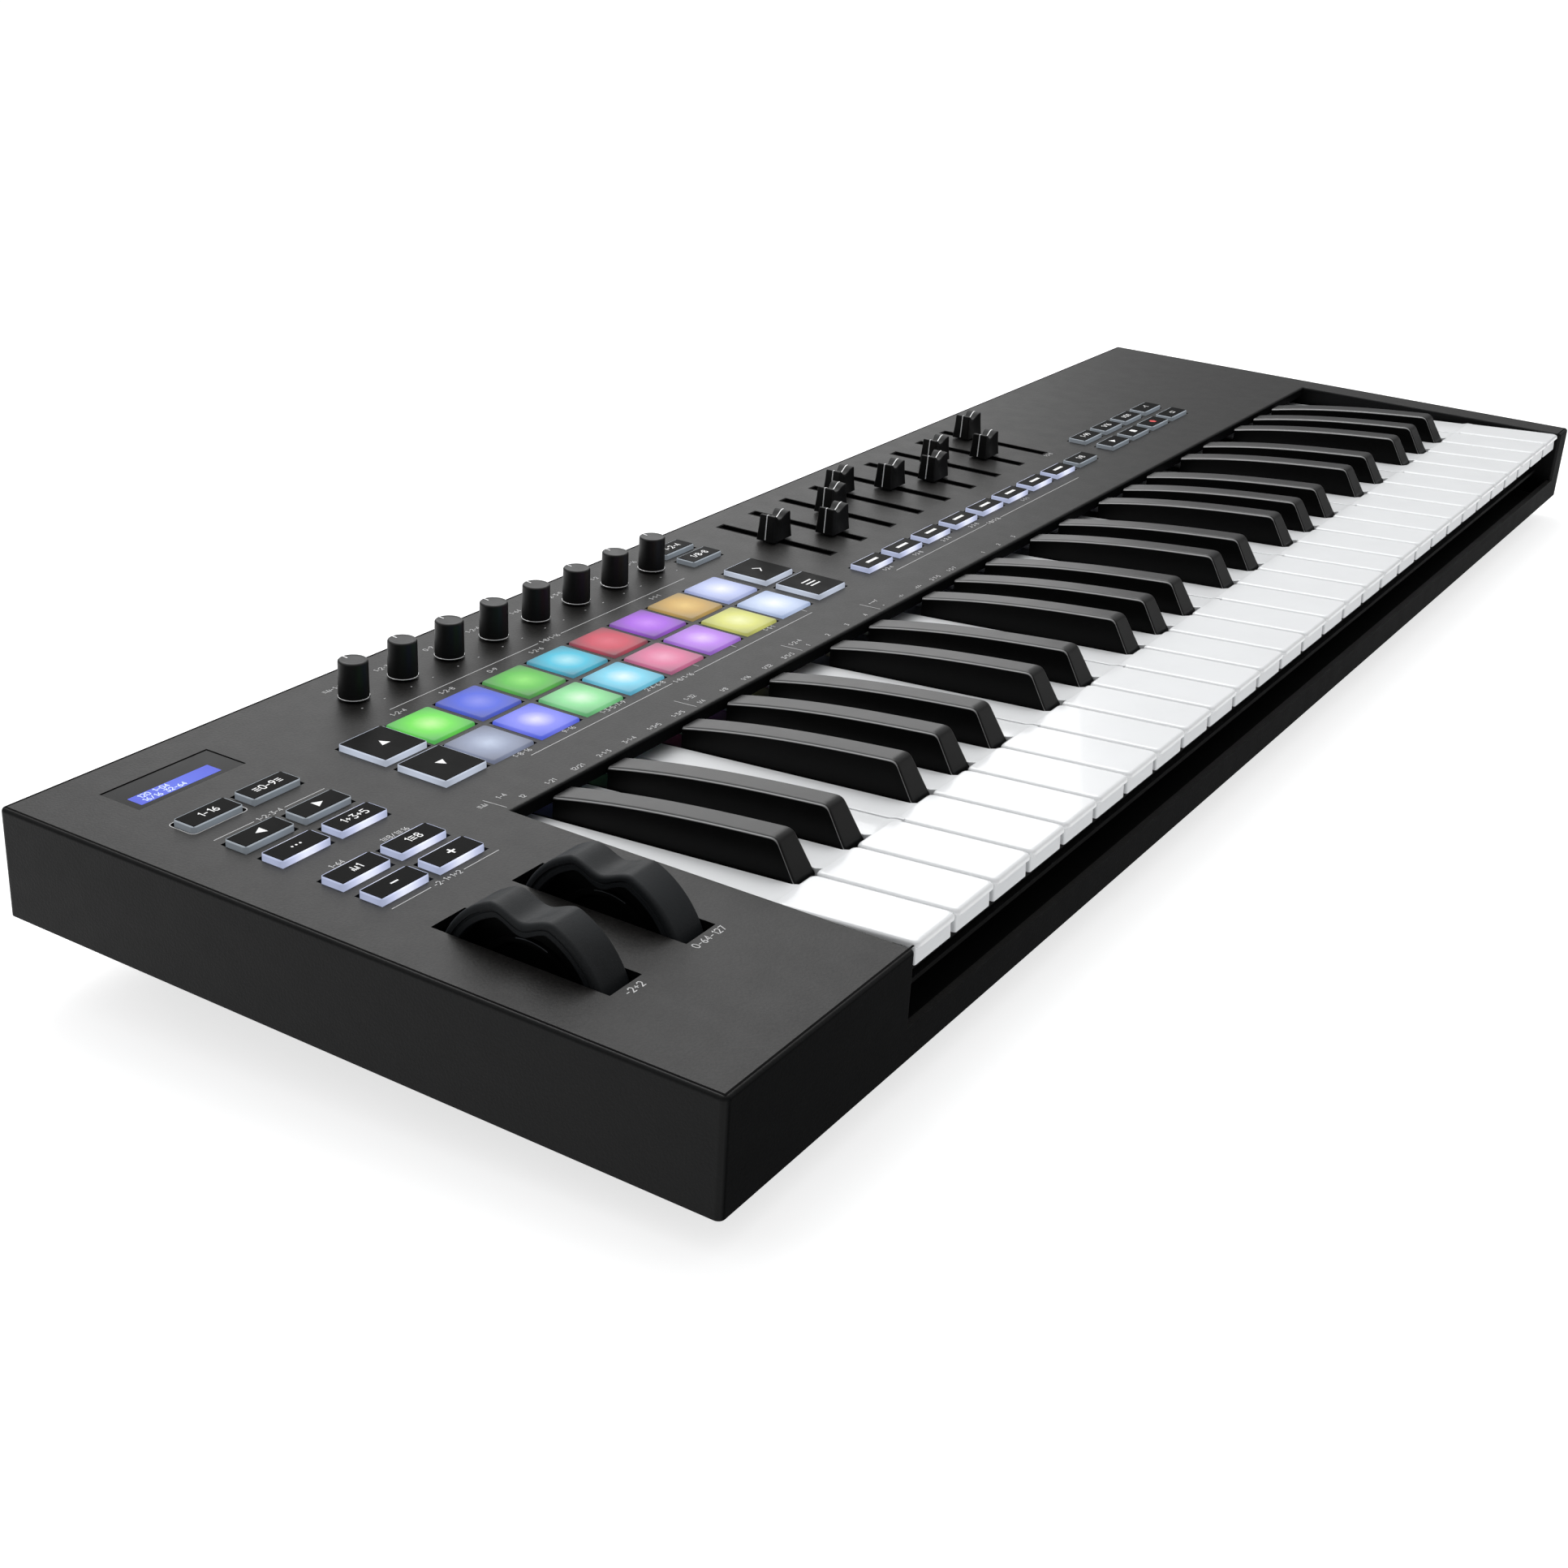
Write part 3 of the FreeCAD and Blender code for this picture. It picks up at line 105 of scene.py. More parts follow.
def caps_of(node):
    """The part of each solid that stands over the panel, row by row from the front, in case millimetres."""
    caps = []
    for island in solids(node):
        over = [point for point in (TO_CASE @ corner for corner in island) if point.z > PANEL + 0.1]
        xs = [point.x for point in over]
        ys = [point.y for point in over]
        caps.append(Cap(
            (min(xs) + max(xs)) / 2,
            (min(ys) + max(ys)) / 2,
            (max(xs) - min(xs)) / 2,
            (max(ys) - min(ys)) / 2,
            max(point.z for point in over),
        ))
    return sorted(caps, key=lambda cap: (round(cap.y), cap.x))


# -------- materials

def srgb(red, green, blue):
    """A colour as seen on a screen, 0 to 255, as the linear colour that shaders take."""
    return tuple((value / 255) ** 2.2 for value in (red, green, blue)) + (1.0,)


def grey(value, warmth=0.0):
    """A linear grey; warmth above 0 leans to brown and below 0 to blue."""
    return (value * (1 + warmth), value, value * (1 - warmth), 1.0)


def feed(node, values):
    """Sets a node's inputs to constants, or links other nodes' outputs to them."""
    for socket, value in values.items():
        if isinstance(value, bpy.types.NodeSocket):
            node.id_data.links.new(value, node.inputs[socket])
        else:
            node.inputs[socket].default_value = value


# Every material by its name, filled by Look.
LOOKS = {}


class Look:
    """A procedural material on the piece's own coordinates, with sizes in millimetres."""

    def __init__(self, name, **sockets):
        self.material = bpy.data.materials.new(name)
        self.material.use_nodes = True
        LOOKS[name] = self.material
        self.tree = self.material.node_tree
        self.shader = self.tree.nodes["Principled BSDF"]
        self.place = self.add("ShaderNodeTexCoord").outputs["Object"]
        for socket, value in sockets.items():
            self.set(socket.replace("_", " "), value)

    def add(self, kind, **settings):
        """A new node with its settings."""
        node = self.tree.nodes.new(kind)
        for name, value in settings.items():
            setattr(node, name, value)
        return node

    def set(self, socket, value):
        """Sets an input of the shader."""
        feed(self.shader, {socket: value})

    def noise(self, size, detail, stretch=(1, 1, 1)):
        """Soft noise from 0 to 1 whose lumps have that size."""
        mapping = self.add("ShaderNodeMapping")
        feed(mapping, {"Scale": stretch, "Vector": self.place})
        node = self.add("ShaderNodeTexNoise")
        feed(node, {"Scale": 1 / (size * MM), "Detail": detail, "Vector": mapping.outputs["Vector"]})
        return node.outputs["Fac"]

    def spread(self, factor, low, high, start=0.3, end=0.7):
        """Maps start..end of a factor to low..high."""
        node = self.add("ShaderNodeMapRange")
        feed(node, {"Value": factor, "From Min": start, "From Max": end, "To Min": low, "To Max": high})
        return node.outputs["Result"]

    def along(self, way):
        """The share of the surface's normal that points that way, -1 to 1."""
        node = self.add("ShaderNodeVectorMath", operation="DOT_PRODUCT")
        feed(node, {0: self.add("ShaderNodeTexCoord").outputs["Normal"], 1: way})
        return node.outputs["Value"]

    def facing(self, way, start, end):
        """0 where the surface faces another way and 1 where it faces that way."""
        return self.spread(self.along(way), 0.0, 1.0, start, end)

    def edges(self):
        """1 where the surface turns towards the left or right side, 0 on the sides and on all else."""
        node = self.add("ShaderNodeMath", operation="ABSOLUTE")
        feed(node, {0: self.along(RIGHT)})
        sideways = node.outputs["Value"]
        rising = self.spread(sideways, 0.0, 1.0, 0.6, 0.8)
        return self.spread(sideways, rising, 0.0, 0.9, 0.98)

    def mix(self, factor, first, second):
        """Blends two colours; the node takes its factor at input 0 and its colours at 6 and 7."""
        node = self.add("ShaderNodeMix", data_type="RGBA")
        feed(node, {0: factor, 6: first, 7: second})
        return node.outputs[2]

    def bump(self, height, strength, depth):
        """Relief of that depth."""
        node = self.add("ShaderNodeBump")
        feed(node, {"Strength": strength, "Distance": depth * MM, "Height": height})
        self.set("Normal", node.outputs["Normal"])

    def smudged(self, rough, change):
        """Roughness that wanders that much to both sides."""
        self.set("Roughness", self.spread(self.noise(SMUDGE_SIZE, 5.0), rough - change, rough + change))


# The size of the patches of different gloss and of different tone.
SMUDGE_SIZE = 9
CLOUD_SIZE = 22


def moulded(name, dark, light, rough, grain=0.5, depth=0.03, smudge=0.05, stretch=(1, 1, 1), **sockets):
    """Plastic, rubber or metal: clouded tone, smudged gloss and a fine raised grain."""
    look = Look(name, **sockets)
    fine = look.noise(grain, 3.0, stretch)
    cloud = look.spread(look.noise(CLOUD_SIZE, 4.0), 0.0, 1.0)
    speckled = look.mix(look.spread(fine, 0.0, 0.5), dark, light)
    look.set("Base Color", look.mix(cloud, speckled, light))
    look.smudged(rough, smudge)
    look.bump(fine, 0.5, depth)


def case_plastic():
    """The top half of the casing: a speckled panel, sides darker partly by their own tone and partly as painted
    shade, and front faces left almost without gloss as painted shade.
    """
    look = Look("case")
    fine = look.noise(0.8, 2.0)
    speck = look.spread(fine, 0.0, 1.0)
    upward = look.facing(UP, 0.8, 0.97)
    # Painted shade: gloss falls away on faces that look forward, so the front reads dark.
    side_gloss = look.spread(look.facing(-BACK, 0.7, 0.95), 0.11, 0.004, 0.0, 1.0)
    # The sides' cool tone is their own; that they are darker than the panel is partly painted shade.
    sides = look.mix(speck, grey(0.0036, -0.04), grey(0.0046, -0.04))
    panel = look.mix(speck, grey(0.004, 0.07), grey(0.013, 0.07))
    look.set("Base Color", look.mix(upward, sides, panel))
    look.smudged(0.46, 0.02)
    look.set("Specular IOR Level", look.spread(upward, side_gloss, 0.22, 0.0, 1.0))
    look.bump(fine, 0.5, 0.12)


def glowing(name, strength, base, *zones):
    """A lit translucent piece: zones are a radius from the object's own origin and the colour there."""
    look = Look(name, Roughness=0.45, Specular_IOR_Level=0.2, Emission_Strength=strength)
    flat = look.add("ShaderNodeVectorMath", operation="MULTIPLY")
    feed(flat, {0: look.place, 1: (1, 1, 0)})
    length = look.add("ShaderNodeVectorMath", operation="LENGTH")
    feed(length, {0: flat.outputs["Vector"]})
    colour = zones[0][1]
    for (near, _), (far, outer) in zip(zones, zones[1:]):
        colour = look.mix(look.spread(length.outputs["Value"], 0.0, 1.0, near * MM, far * MM), colour, outer)
    edge = zones[-1][1]
    look.set("Emission Color", look.mix(look.spread(look.noise(2.5, 3.0), 0.0, 0.1), colour, edge))
    look.set("Base Color", tuple(value * base for value in edge[:3]) + (1.0,))
    look.bump(look.noise(0.5, 3.0), 0.3, 0.02)


def piano_black():
    """The black keys: tops painted lighter and sides painted darker as light and shade on one black plastic, with
    a painted highlight on the edges between them.
    """
    look = Look("black_key")
    fine = look.noise(0.5, 2.0)
    # Painted light and shade: faces looking up take a lighter, glossier copy of the plastic and the sides a darker
    # one.
    upward = look.facing(UP, 0.2, 0.8)
    # Painted highlight: a grey metal band on the rounded edges between the tops and the sides.
    edges = look.edges()
    sides = look.mix(fine, grey(0.0014), grey(0.0018))
    plain = look.mix(upward, sides, look.mix(fine, grey(0.005, 0.06), grey(0.006, 0.06)))
    look.set("Base Color", look.mix(edges, plain, grey(0.4)))
    look.set("Metallic", look.spread(edges, 0.0, 0.9, 0.0, 1.0))
    look.smudged(0.335, 0.015)
    look.set("Specular IOR Level", look.spread(upward, 0.1, 0.3, 0.0, 1.0))


case_plastic()
piano_black()
# The dark and the light tone, the roughness, then the size and the depth of the grain.
moulded("base", grey(0.003), grey(0.004), 0.6, 0.6, 0.05, Specular_IOR_Level=0.1)
moulded("white_key", grey(0.79, -0.01), grey(0.82, -0.01), 0.2, 3.0, 0.008, 0.03, Coat_Weight=0.3)
# Painted shade: a darker copy of the white keys' plastic for the skirts under their lips.
moulded("white_key_shaded_skirt", grey(0.64, -0.02), grey(0.67, -0.02), 0.4, 3.0, 0.008, 0.03)
moulded("pad", grey(0.4), grey(0.5), 0.5)
moulded("button", grey(0.0025), grey(0.0035), 0.36, 0.4, 0.004, IOR=1.07)
moulded("knob", grey(0.004), grey(0.006), 0.46, 0.3, 0.03, Specular_IOR_Level=0.3)
# Partly a painted highlight: the knobs' glossy collars are made bright metal so that they show a bright crescent.
moulded("highlight_collar", grey(0.5), grey(0.6), 0.2, 0.8, 0.004, 0.03, Metallic=1.0)
moulded("fader_cap", grey(0.004), grey(0.006), 0.45, 0.3, 0.01, Specular_IOR_Level=0.16)
moulded("wheel", grey(0.003, -0.2), grey(0.012, -0.15), 0.58, 0.5, 0.1, Specular_IOR_Level=0.25)
# Painted highlight: light grey for thin lines on the wheels where highlights would fall.
moulded("wheel_edge_highlight", grey(0.05, -0.1), grey(0.07, -0.1), 0.4, 0.5, 0.02)
moulded("wheel_web", grey(0.001), grey(0.0016), 0.35, 0.5, 0.01, Specular_IOR_Level=0.2)
moulded("steel", grey(0.5), grey(0.6), 0.3, 0.3, 0.01, stretch=(0.05, 1, 1), Metallic=1.0)
moulded("spring", grey(0.42), grey(0.52), 0.26, 0.3, 0.01, Metallic=1.0)
moulded("bracket", grey(0.03), grey(0.04), 0.5, 0.5, 0.03)
# Painted shade: the key frame and its felt are made near black so that the space under the key fronts reads dark.
moulded("frame", grey(0.0012), grey(0.002), 0.6, 0.6, 0.02, Specular_IOR_Level=0.08)
moulded("felt", grey(0.0015), grey(0.003), 0.95, 0.25, 0.2, Sheen_Weight=0.05)
moulded("silicone", grey(0.42), grey(0.5), 0.55, 1.0, 0.02, Subsurface_Weight=0.1)
moulded("board", srgb(14, 58, 34), srgb(20, 72, 42), 0.35, 1.2, 0.02, Coat_Weight=0.4)
# Partly the fader cans' own black and partly painted shade: they are made this dark so that the fader slots read
# dark.
moulded("can", grey(0.001), grey(0.0015), 0.7, 0.4, 0.01, Specular_IOR_Level=0.05)
moulded("socket", grey(0.008), grey(0.012), 0.4, 0.5, 0.03)
moulded("glass", grey(0.004), grey(0.005), 0.16, 4.0, 0.002, 0.03, IOR=1.16)
moulded("lcd", srgb(60, 78, 150), srgb(66, 86, 165), 0.4, 1.0, 0.01)
moulded("foot", grey(0.012), grey(0.018), 0.8, 0.6, 0.08)
# Dark joints round the panel, and painted shade in the fader slots.
moulded("seam_and_slot_shade", grey(0.0008), grey(0.0012), 0.8, 0.5, 0.01, Specular_IOR_Level=0.05)
moulded("print", grey(0.42), grey(0.54), 0.6, 0.3, 0.01)
moulded("print_faint", grey(0.03), grey(0.04), 0.5, 0.3, 0.01)
moulded("mark", grey(0.80), grey(0.88), 0.45, 0.3, 0.01)
moulded("record_mark", srgb(190, 34, 34), srgb(205, 44, 40), 0.45, 0.3, 0.01)
# The light's strength, the tone under it as a share of the rim's, and the colours from the middle to the rim.
glowing(
    "guide_bright", 1.0, 0.3,
    (4.2, srgb(236, 240, 255)), (7.0, srgb(196, 202, 232)), (11.0, srgb(150, 158, 184)),
)
glowing(
    "guide_pale", 0.8, 0.3,
    (8.0, srgb(212, 222, 242)), (12.0, srgb(190, 198, 214)), (15.0, srgb(158, 166, 180)),
)
glowing("guide_dim", 0.42, 1.2, (4.0, srgb(136, 146, 156)), (11.0, srgb(124, 130, 136)))
glowing("screen", 0.9, 0.2, (2.0, srgb(84, 104, 222)), (16.0, srgb(70, 84, 206)))
glowing("screen_mark", 0.95, 0.2, (2.0, srgb(214, 226, 255)), (16.0, srgb(190, 206, 250)))


# -------- shapes

TURNED_STEPS = 48


def new_object(name, data):
    """A new object in the scene."""
    made = bpy.data.objects.new(name, data)
    bpy.context.scene.collection.objects.link(made)
    return made


class Shape:
    """A mesh put together from closed lofts.  Each face takes the finish of that number."""

    def __init__(self):
        self.mesh = bmesh.new()

    def loft(self, rings, finish=0, wrap=False):
        """Skins rings of equal length; the ends are closed, or joined to each other with wrap."""
        rows = [[self.mesh.verts.new(point) for point in ring] for ring in rings]
        faces = []
        following = rows[1:] + rows[:1] if wrap else rows[1:]
        for low, high in zip(rows, following):
            for index in range(len(low)):
                after = (index + 1) % len(low)
                faces.append(self.mesh.faces.new((low[index], low[after], high[after], high[index])))
        if not wrap:
            faces.append(self.mesh.faces.new(rows[0]))
            faces.append(self.mesh.faces.new(rows[-1]))
        for face in faces:
            face.material_index = finish

    def plate(self, outline, low, high, finish=0):
        """A flat plate with that outline of x and y."""
        self.loft([[(x, y, z) for x, y in outline] for z in (low, high)], finish)

    def stroke(self, points, width, low, high, finish=0):
        """A drawn line with mitred corners; it closes on itself if it ends where it starts."""
        closed = points[0] == points[-1]
        path = [Vector(point) for point in (points[:-1] if closed else points)]
        rings = []
        for index, point in enumerate(path):
            before = path[index - 1] if index or closed else None
            after = path[(index + 1) % len(path)] if index + 1 < len(path) or closed else None
            ways = [(point - before).normalized()] if before is not None else []
            ways += [(after - point).normalized()] if after is not None else []
            way = sum(ways, Vector((0, 0))).normalized()
            side = Vector((-way.y, way.x)) * width / 2 / max(0.4, way.dot(ways[0]))
            left, right = point + side, point - side
            rings.append([(*left, low), (*right, low), (*right, high), (*left, high)])
        self.loft(rings, finish, wrap=closed)

    def turned(self, profile, place, finish=0):
        """Turns a profile of radius and height about Z, and closes both ends with a disc."""
        turns = [2 * math.pi * step / TURNED_STEPS for step in range(TURNED_STEPS)]
        rings = []
        for radius, height in profile:
            circle = [(radius * math.cos(turn), radius * math.sin(turn), height) for turn in turns]
            rings.append([place @ Vector(point) for point in circle])
        self.loft(rings, finish)

    def make(self, name, looks, body, slot, place=CASE, origin=Matrix(), angle=40, stands_for=()):
        """Finishes the mesh as a piece that rides on a body."""
        bmesh.ops.recalc_face_normals(self.mesh, faces=self.mesh.faces)
        data = bpy.data.meshes.new(name)
        self.mesh.to_mesh(data)
        self.mesh.free()
        data.transform(origin.inverted() @ place)
        for look in looks:
            data.materials.append(LOOKS[look])
        data.shade_smooth()
        data.set_sharp_from_angle(angle=math.radians(angle))
        piece = new_object(name, data)
        flats = piece.modifiers.new("flats", "WEIGHTED_NORMAL")
        flats.keep_sharp = True
        piece.matrix_world = origin
        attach(piece, body)
        if stands_for:
            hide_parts(*stands_for)


def arc(centre, radius, start, end, steps):
    """Points on a circle's arc, in degrees."""
    turns = [math.radians(start + (end - start) * step / steps) for step in range(steps + 1)]
    return [(centre[0] + radius * math.cos(turn), centre[1] + radius * math.sin(turn)) for turn in turns]


def rectangle(left, right, near, far):
    """The corners of a rectangle, from the near left one round to the far left one."""
    return [(left, near), (right, near), (right, far), (left, far)]


def ring(cap, z, inset, corner, steps):
    """A rectangle round a cap's middle at height z, its corners rounded, or cut straight with one step."""
    wide, deep = cap.wide - inset, cap.deep - inset
    round_off = max(corner - inset, 0.05)
    points = []
    for quarter, (side, way) in enumerate(((1, 1), (-1, 1), (-1, -1), (1, -1))):
        centre = (cap.x + side * (wide - round_off), cap.y + way * (deep - round_off))
        points += arc(centre, round_off, 90 * quarter, 90 * quarter + 90, steps)
    return [(x, y, z) for x, y in points]


# -------- marks

# Strokes of each sign in a box one unit high.
SIGNS = {
    "0": [[(0, .25), (0, .75), (.15, 1), (.45, 1), (.6, .75), (.6, .25), (.45, 0), (.15, 0), (0, .25)]],
    "1": [[(.1, .8), (.35, 1), (.35, 0)]],
    "2": [[(0, .8), (.15, 1), (.45, 1), (.6, .8), (.6, .6), (0, 0), (.6, 0)]],
    "3": [[(0, 1), (.6, 1), (.3, .6), (.6, .4), (.6, .15), (.45, 0), (.15, 0), (0, .15)]],
    "4": [[(.45, 0), (.45, 1), (0, .3), (.6, .3)]],
    "5": [[(.6, 1), (.05, 1), (0, .55), (.4, .6), (.6, .4), (.6, .15), (.45, 0), (.1, 0), (0, .1)]],
    "6": [[(.5, 1), (.15, .65), (0, .3), (.15, 0), (.45, 0), (.6, .25), (.45, .5), (.1, .45)]],
    "7": [[(0, 1), (.6, 1), (.2, 0)]],
    "8": [
        [(.15, .55), (0, .75), (.15, 1), (.45, 1), (.6, .75), (.45, .55), (.15, .55)],
        [(.15, .5), (0, .25), (.15, 0), (.45, 0), (.6, .25), (.45, .5)],
    ],
    "9": [[(.1, 0), (.45, .35), (.6, .7), (.45, 1), (.15, 1), (0, .75), (.15, .5), (.5, .55)]],
    "/": [[(0, 0), (.5, 1)]],
    "-": [[(0, .45), (.5, .45)]],
    "+": [[(0, .5), (.6, .5)], [(.3, .2), (.3, .8)]],
    ".": [[(.1, .4), (.3, .4), (.3, .55), (.1, .55), (.1, .4)]],
    "=": [[(0, .15), (.7, .15)], [(0, .5), (.7, .5)], [(0, .85), (.7, .85)]],
    "o": [[(0, .5), (.15, .9), (.5, 1), (.8, .8), (.85, .4), (.65, .05), (.3, 0), (.05, .2), (0, .5)]],
    "#": [[(0, 0), (0, .5)], [(.25, 0), (.25, 1)], [(.5, 0), (.5, .35)], [(.75, 0), (.75, .8)]],
    "n": [[(0, 0), (0, .7), (.9, .7), (.9, 0), (0, 0)]],
    " ": [],
}
SIGN_GAP = 0.25
# Printed marks reach this far into the surface, and signs, lines and faint lines stand this far out of it.
SUNK = 0.03
SIGN_PROUD = 0.05
LINE_PROUD = 0.04
FAINT_PROUD = 0.02


def reach(sign):
    """How far a sign runs to the right."""
    return max((x for line in SIGNS[sign] for x, _ in line), default=0.4)


def measure(signs):
    """Length of a row of signs of height one."""
    return sum(reach(sign) + SIGN_GAP for sign in signs) - SIGN_GAP


def write(shape, signs, x, y, z, height, line, finish=0):
    """Draws signs of that height and line width about the middle x and y."""
    left = x - measure(signs) * height / 2
    for sign in signs:
        for points in SIGNS[sign]:
            drawn = [(left + a * height, y + (b - 0.5) * height) for a, b in points]
            shape.stroke(drawn, line, z - SUNK, z + SIGN_PROUD, finish)
        left += (reach(sign) + SIGN_GAP) * height


# Filled shapes in a box one unit wide and high, about its middle.
FILLED = {
    "play": [[(-.4, -.5), (.5, 0), (-.4, .5)]],
    "back": [[(.4, -.5), (-.5, 0), (.4, .5)]],
    "up": [[(-.5, -.4), (.5, -.4), (0, .5)]],
    "down": [[(-.5, .4), (.5, .4), (0, -.5)]],
    "stop": [rectangle(-.45, .45, -.45, .45)],
    "record": [arc((0, 0), 0.48, 0, 345, 23)],
    "bar": [rectangle(-1.15, 1.15, -.2, .2)],
    "dots": [arc((place, 0), 0.12, 0, 315, 7) for place in (-.45, 0, .45)],
    "minus": [rectangle(-.42, .42, -.09, .09)],
    "lines": [rectangle(-.9, .9, y - .1, y + .1) for y in (-.6, 0, .6)],
}


def icon(shape, name, cap, z, finish):
    """A button's sign, filled or drawn."""
    size = 3.6
    low, high = z - SUNK, z + SIGN_PROUD
    if name in FILLED:
        for outline in FILLED[name]:
            shape.plate([(cap.x + x * size, cap.y + y * size) for x, y in outline], low, high, finish)
    elif name == "plus":
        arm, half = 0.42 * size, 0.09 * size
        outline = [(-arm, -half), (-half, -half), (-half, -arm), (half, -arm), (half, -half), (arm, -half)]
        outline += [(-x, -y) for x, y in outline]
        shape.plate([(cap.x + x, cap.y + y) for x, y in outline], low, high, finish)
    elif name == "chevron":
        drawn = [(cap.x - 1.2, cap.y + 2.2), (cap.x + 1.2, cap.y), (cap.x - 1.2, cap.y - 2.2)]
        shape.stroke(drawn, 0.55, low, high, finish)
    else:
        write(shape, name, cap.x, cap.y, z, 2.7, 0.4, finish)


# -------- buttons and pads

def standing_at(x, y):
    """An origin on the panel, in metres and turned with the casing."""
    return CASE @ Matrix.Translation((x, y, PANEL)) @ Matrix.Scale(1 / MM, 4)


GUIDE_FOOT = -1.6
GUIDE_CORNER = 1.2
GUIDE_BEVEL = 0.45
CAP_INSET = 0.7
CAP_CORNER = 0.2
CAP_PROUD = 0.15
# How far the buttons lie below the CAD solid's top.
BUTTON_LOW = 0.4

BUTTONS = (
    # node, light guide, sign of each button from the front row's left
    ("setup_buttons", "guide_dim", ("1-16", "=0-9=")),
    ("track_buttons", "guide_dim", ("back", "play")),
    ("mode_buttons", "guide_bright", ("#1", "1=8", "dots", "1+3+5")),
    ("octave_buttons", "guide_bright", ("minus", "plus")),
    ("scene_buttons", "guide_pale", ("down", "lines", "up", "chevron")),
    ("device_buttons", "guide_dim", ("1/8-8", "1-2-4")),
    ("fader_buttons", "guide_bright", ("bar",) * 8 + ("1/8",)),
    ("transport_buttons", "guide_dim", ("play", "stop", "record", "n", "1-99", "1/16", "=o=", "-1")),
)


def build_button(name, node, cap, guide, sign, first):
    """Light guide with cut corners and a bevelled top, and a thin black cap with its sign."""
    shape = Shape()
    top = cap.top - BUTTON_LOW
    rim = top - CAP_PROUD
    guide_sides = ((PANEL + GUIDE_FOOT, 0), (rim - GUIDE_BEVEL, 0))
    guide_sides += ((rim - GUIDE_BEVEL * 0.35, 0.12), (rim, GUIDE_BEVEL))
    shape.loft([ring(cap, z, inset, GUIDE_CORNER, 1) for z, inset in guide_sides])
    corner = CAP_CORNER + CAP_INSET
    shape.loft([
        ring(cap, rim - 0.2, CAP_INSET, corner, 2),
        ring(cap, top - 0.06, CAP_INSET, corner, 2),
        ring(cap, top, CAP_INSET + 0.08, corner + 0.02, 2),
    ], 1)
    mark = "record_mark" if sign == "record" else "mark"
    icon(shape, sign, cap, top, 2)
    shape.make(name, (guide, "button", mark), node, "button", origin=standing_at(cap.x, cap.y), angle=25,
               stands_for=(node,) if first else ())


for node, guide, signs in BUTTONS:
    for number, (cap, sign) in enumerate(zip(caps_of(node), signs), 1):
        unlit_last = node == "fader_buttons" and number == len(signs)
        build_button(f"{node}_{number}", node, cap, "guide_dim" if unlit_last else guide, sign, number == 1)


PAD_EDGE = 0.8
# How far the pads lie below the CAD solid's top.
PAD_LOW = 0.4
# The colours of each pad's middle, body and rim.
PAD_LIGHTS = {
    "upper_pads": (
        ((190, 255, 150), (112, 232, 74), (84, 168, 84)),
        ((124, 134, 238), (74, 98, 226), (78, 88, 170)),
        ((136, 228, 104), (92, 196, 70), (82, 138, 80)),
        ((170, 232, 246), (66, 196, 226), (76, 138, 158)),
        ((222, 92, 112), (208, 66, 88), (128, 72, 82)),
        ((198, 130, 248), (170, 92, 232), (120, 80, 158)),
        ((230, 192, 110), (206, 164, 84), (150, 128, 84)),
        ((244, 246, 255), (196, 206, 246), (146, 156, 198)),
    ),
    "lower_pads": (
        ((192, 204, 228), (150, 160, 186), (108, 114, 134)),
        ((228, 224, 255), (138, 142, 250), (86, 100, 214)),
        ((220, 255, 220), (146, 230, 158), (98, 166, 112)),
        ((226, 250, 255), (128, 216, 242), (90, 160, 186)),
        ((240, 160, 190), (224, 116, 156), (160, 96, 124)),
        ((230, 196, 255), (190, 130, 240), (140, 98, 184)),
        ((244, 246, 180), (222, 224, 120), (166, 168, 96)),
        ((248, 252, 255), (208, 222, 250), (156, 172, 204)),
    ),
}


def build_pad(name, node, cap, light, first):
    """Soft translucent pad with rounded edges, lit from under its middle."""
    middle, body, rim = (srgb(*colour) for colour in light)
    glowing(name, 0.9, 0.12, (1.0, middle), (6.5, body), (13.5, rim))
    edge = cap.top - PAD_LOW - PAD_EDGE
    sides = [(0.0, PANEL + GUIDE_FOOT), (0.0, edge)]
    sides += [(PAD_EDGE - x, edge + z) for x, z in arc((0, 0), PAD_EDGE, 15, 90, 5)]
    shape = Shape()
    shape.loft([ring(cap, z, inset, 1.4, 5) for inset, z in sides])
    shape.make(name, (name,), node, "pad", origin=standing_at(cap.x, cap.y), angle=50,
               stands_for=(node,) if first else ())


for node, lights in PAD_LIGHTS.items():
    for number, (cap, light) in enumerate(zip(caps_of(node), lights), 1):
        build_pad(f"{node}_{number}", node, cap, light, number == 1)


# -------- knobs, faders and wheels

KNOB_FOOT = 0.6
KNOB_TOP = 13.7
KNOB_RADIUS = 5.5
KNOB_NECK = 5.05
KNOB_EDGE = 0.7
COLLAR_LIP = 0.28
BORE_RADIUS = 3.15
BORE_TOP = 9.5
POINTER_HALF = 0.24
POINTER_THICK = 0.12


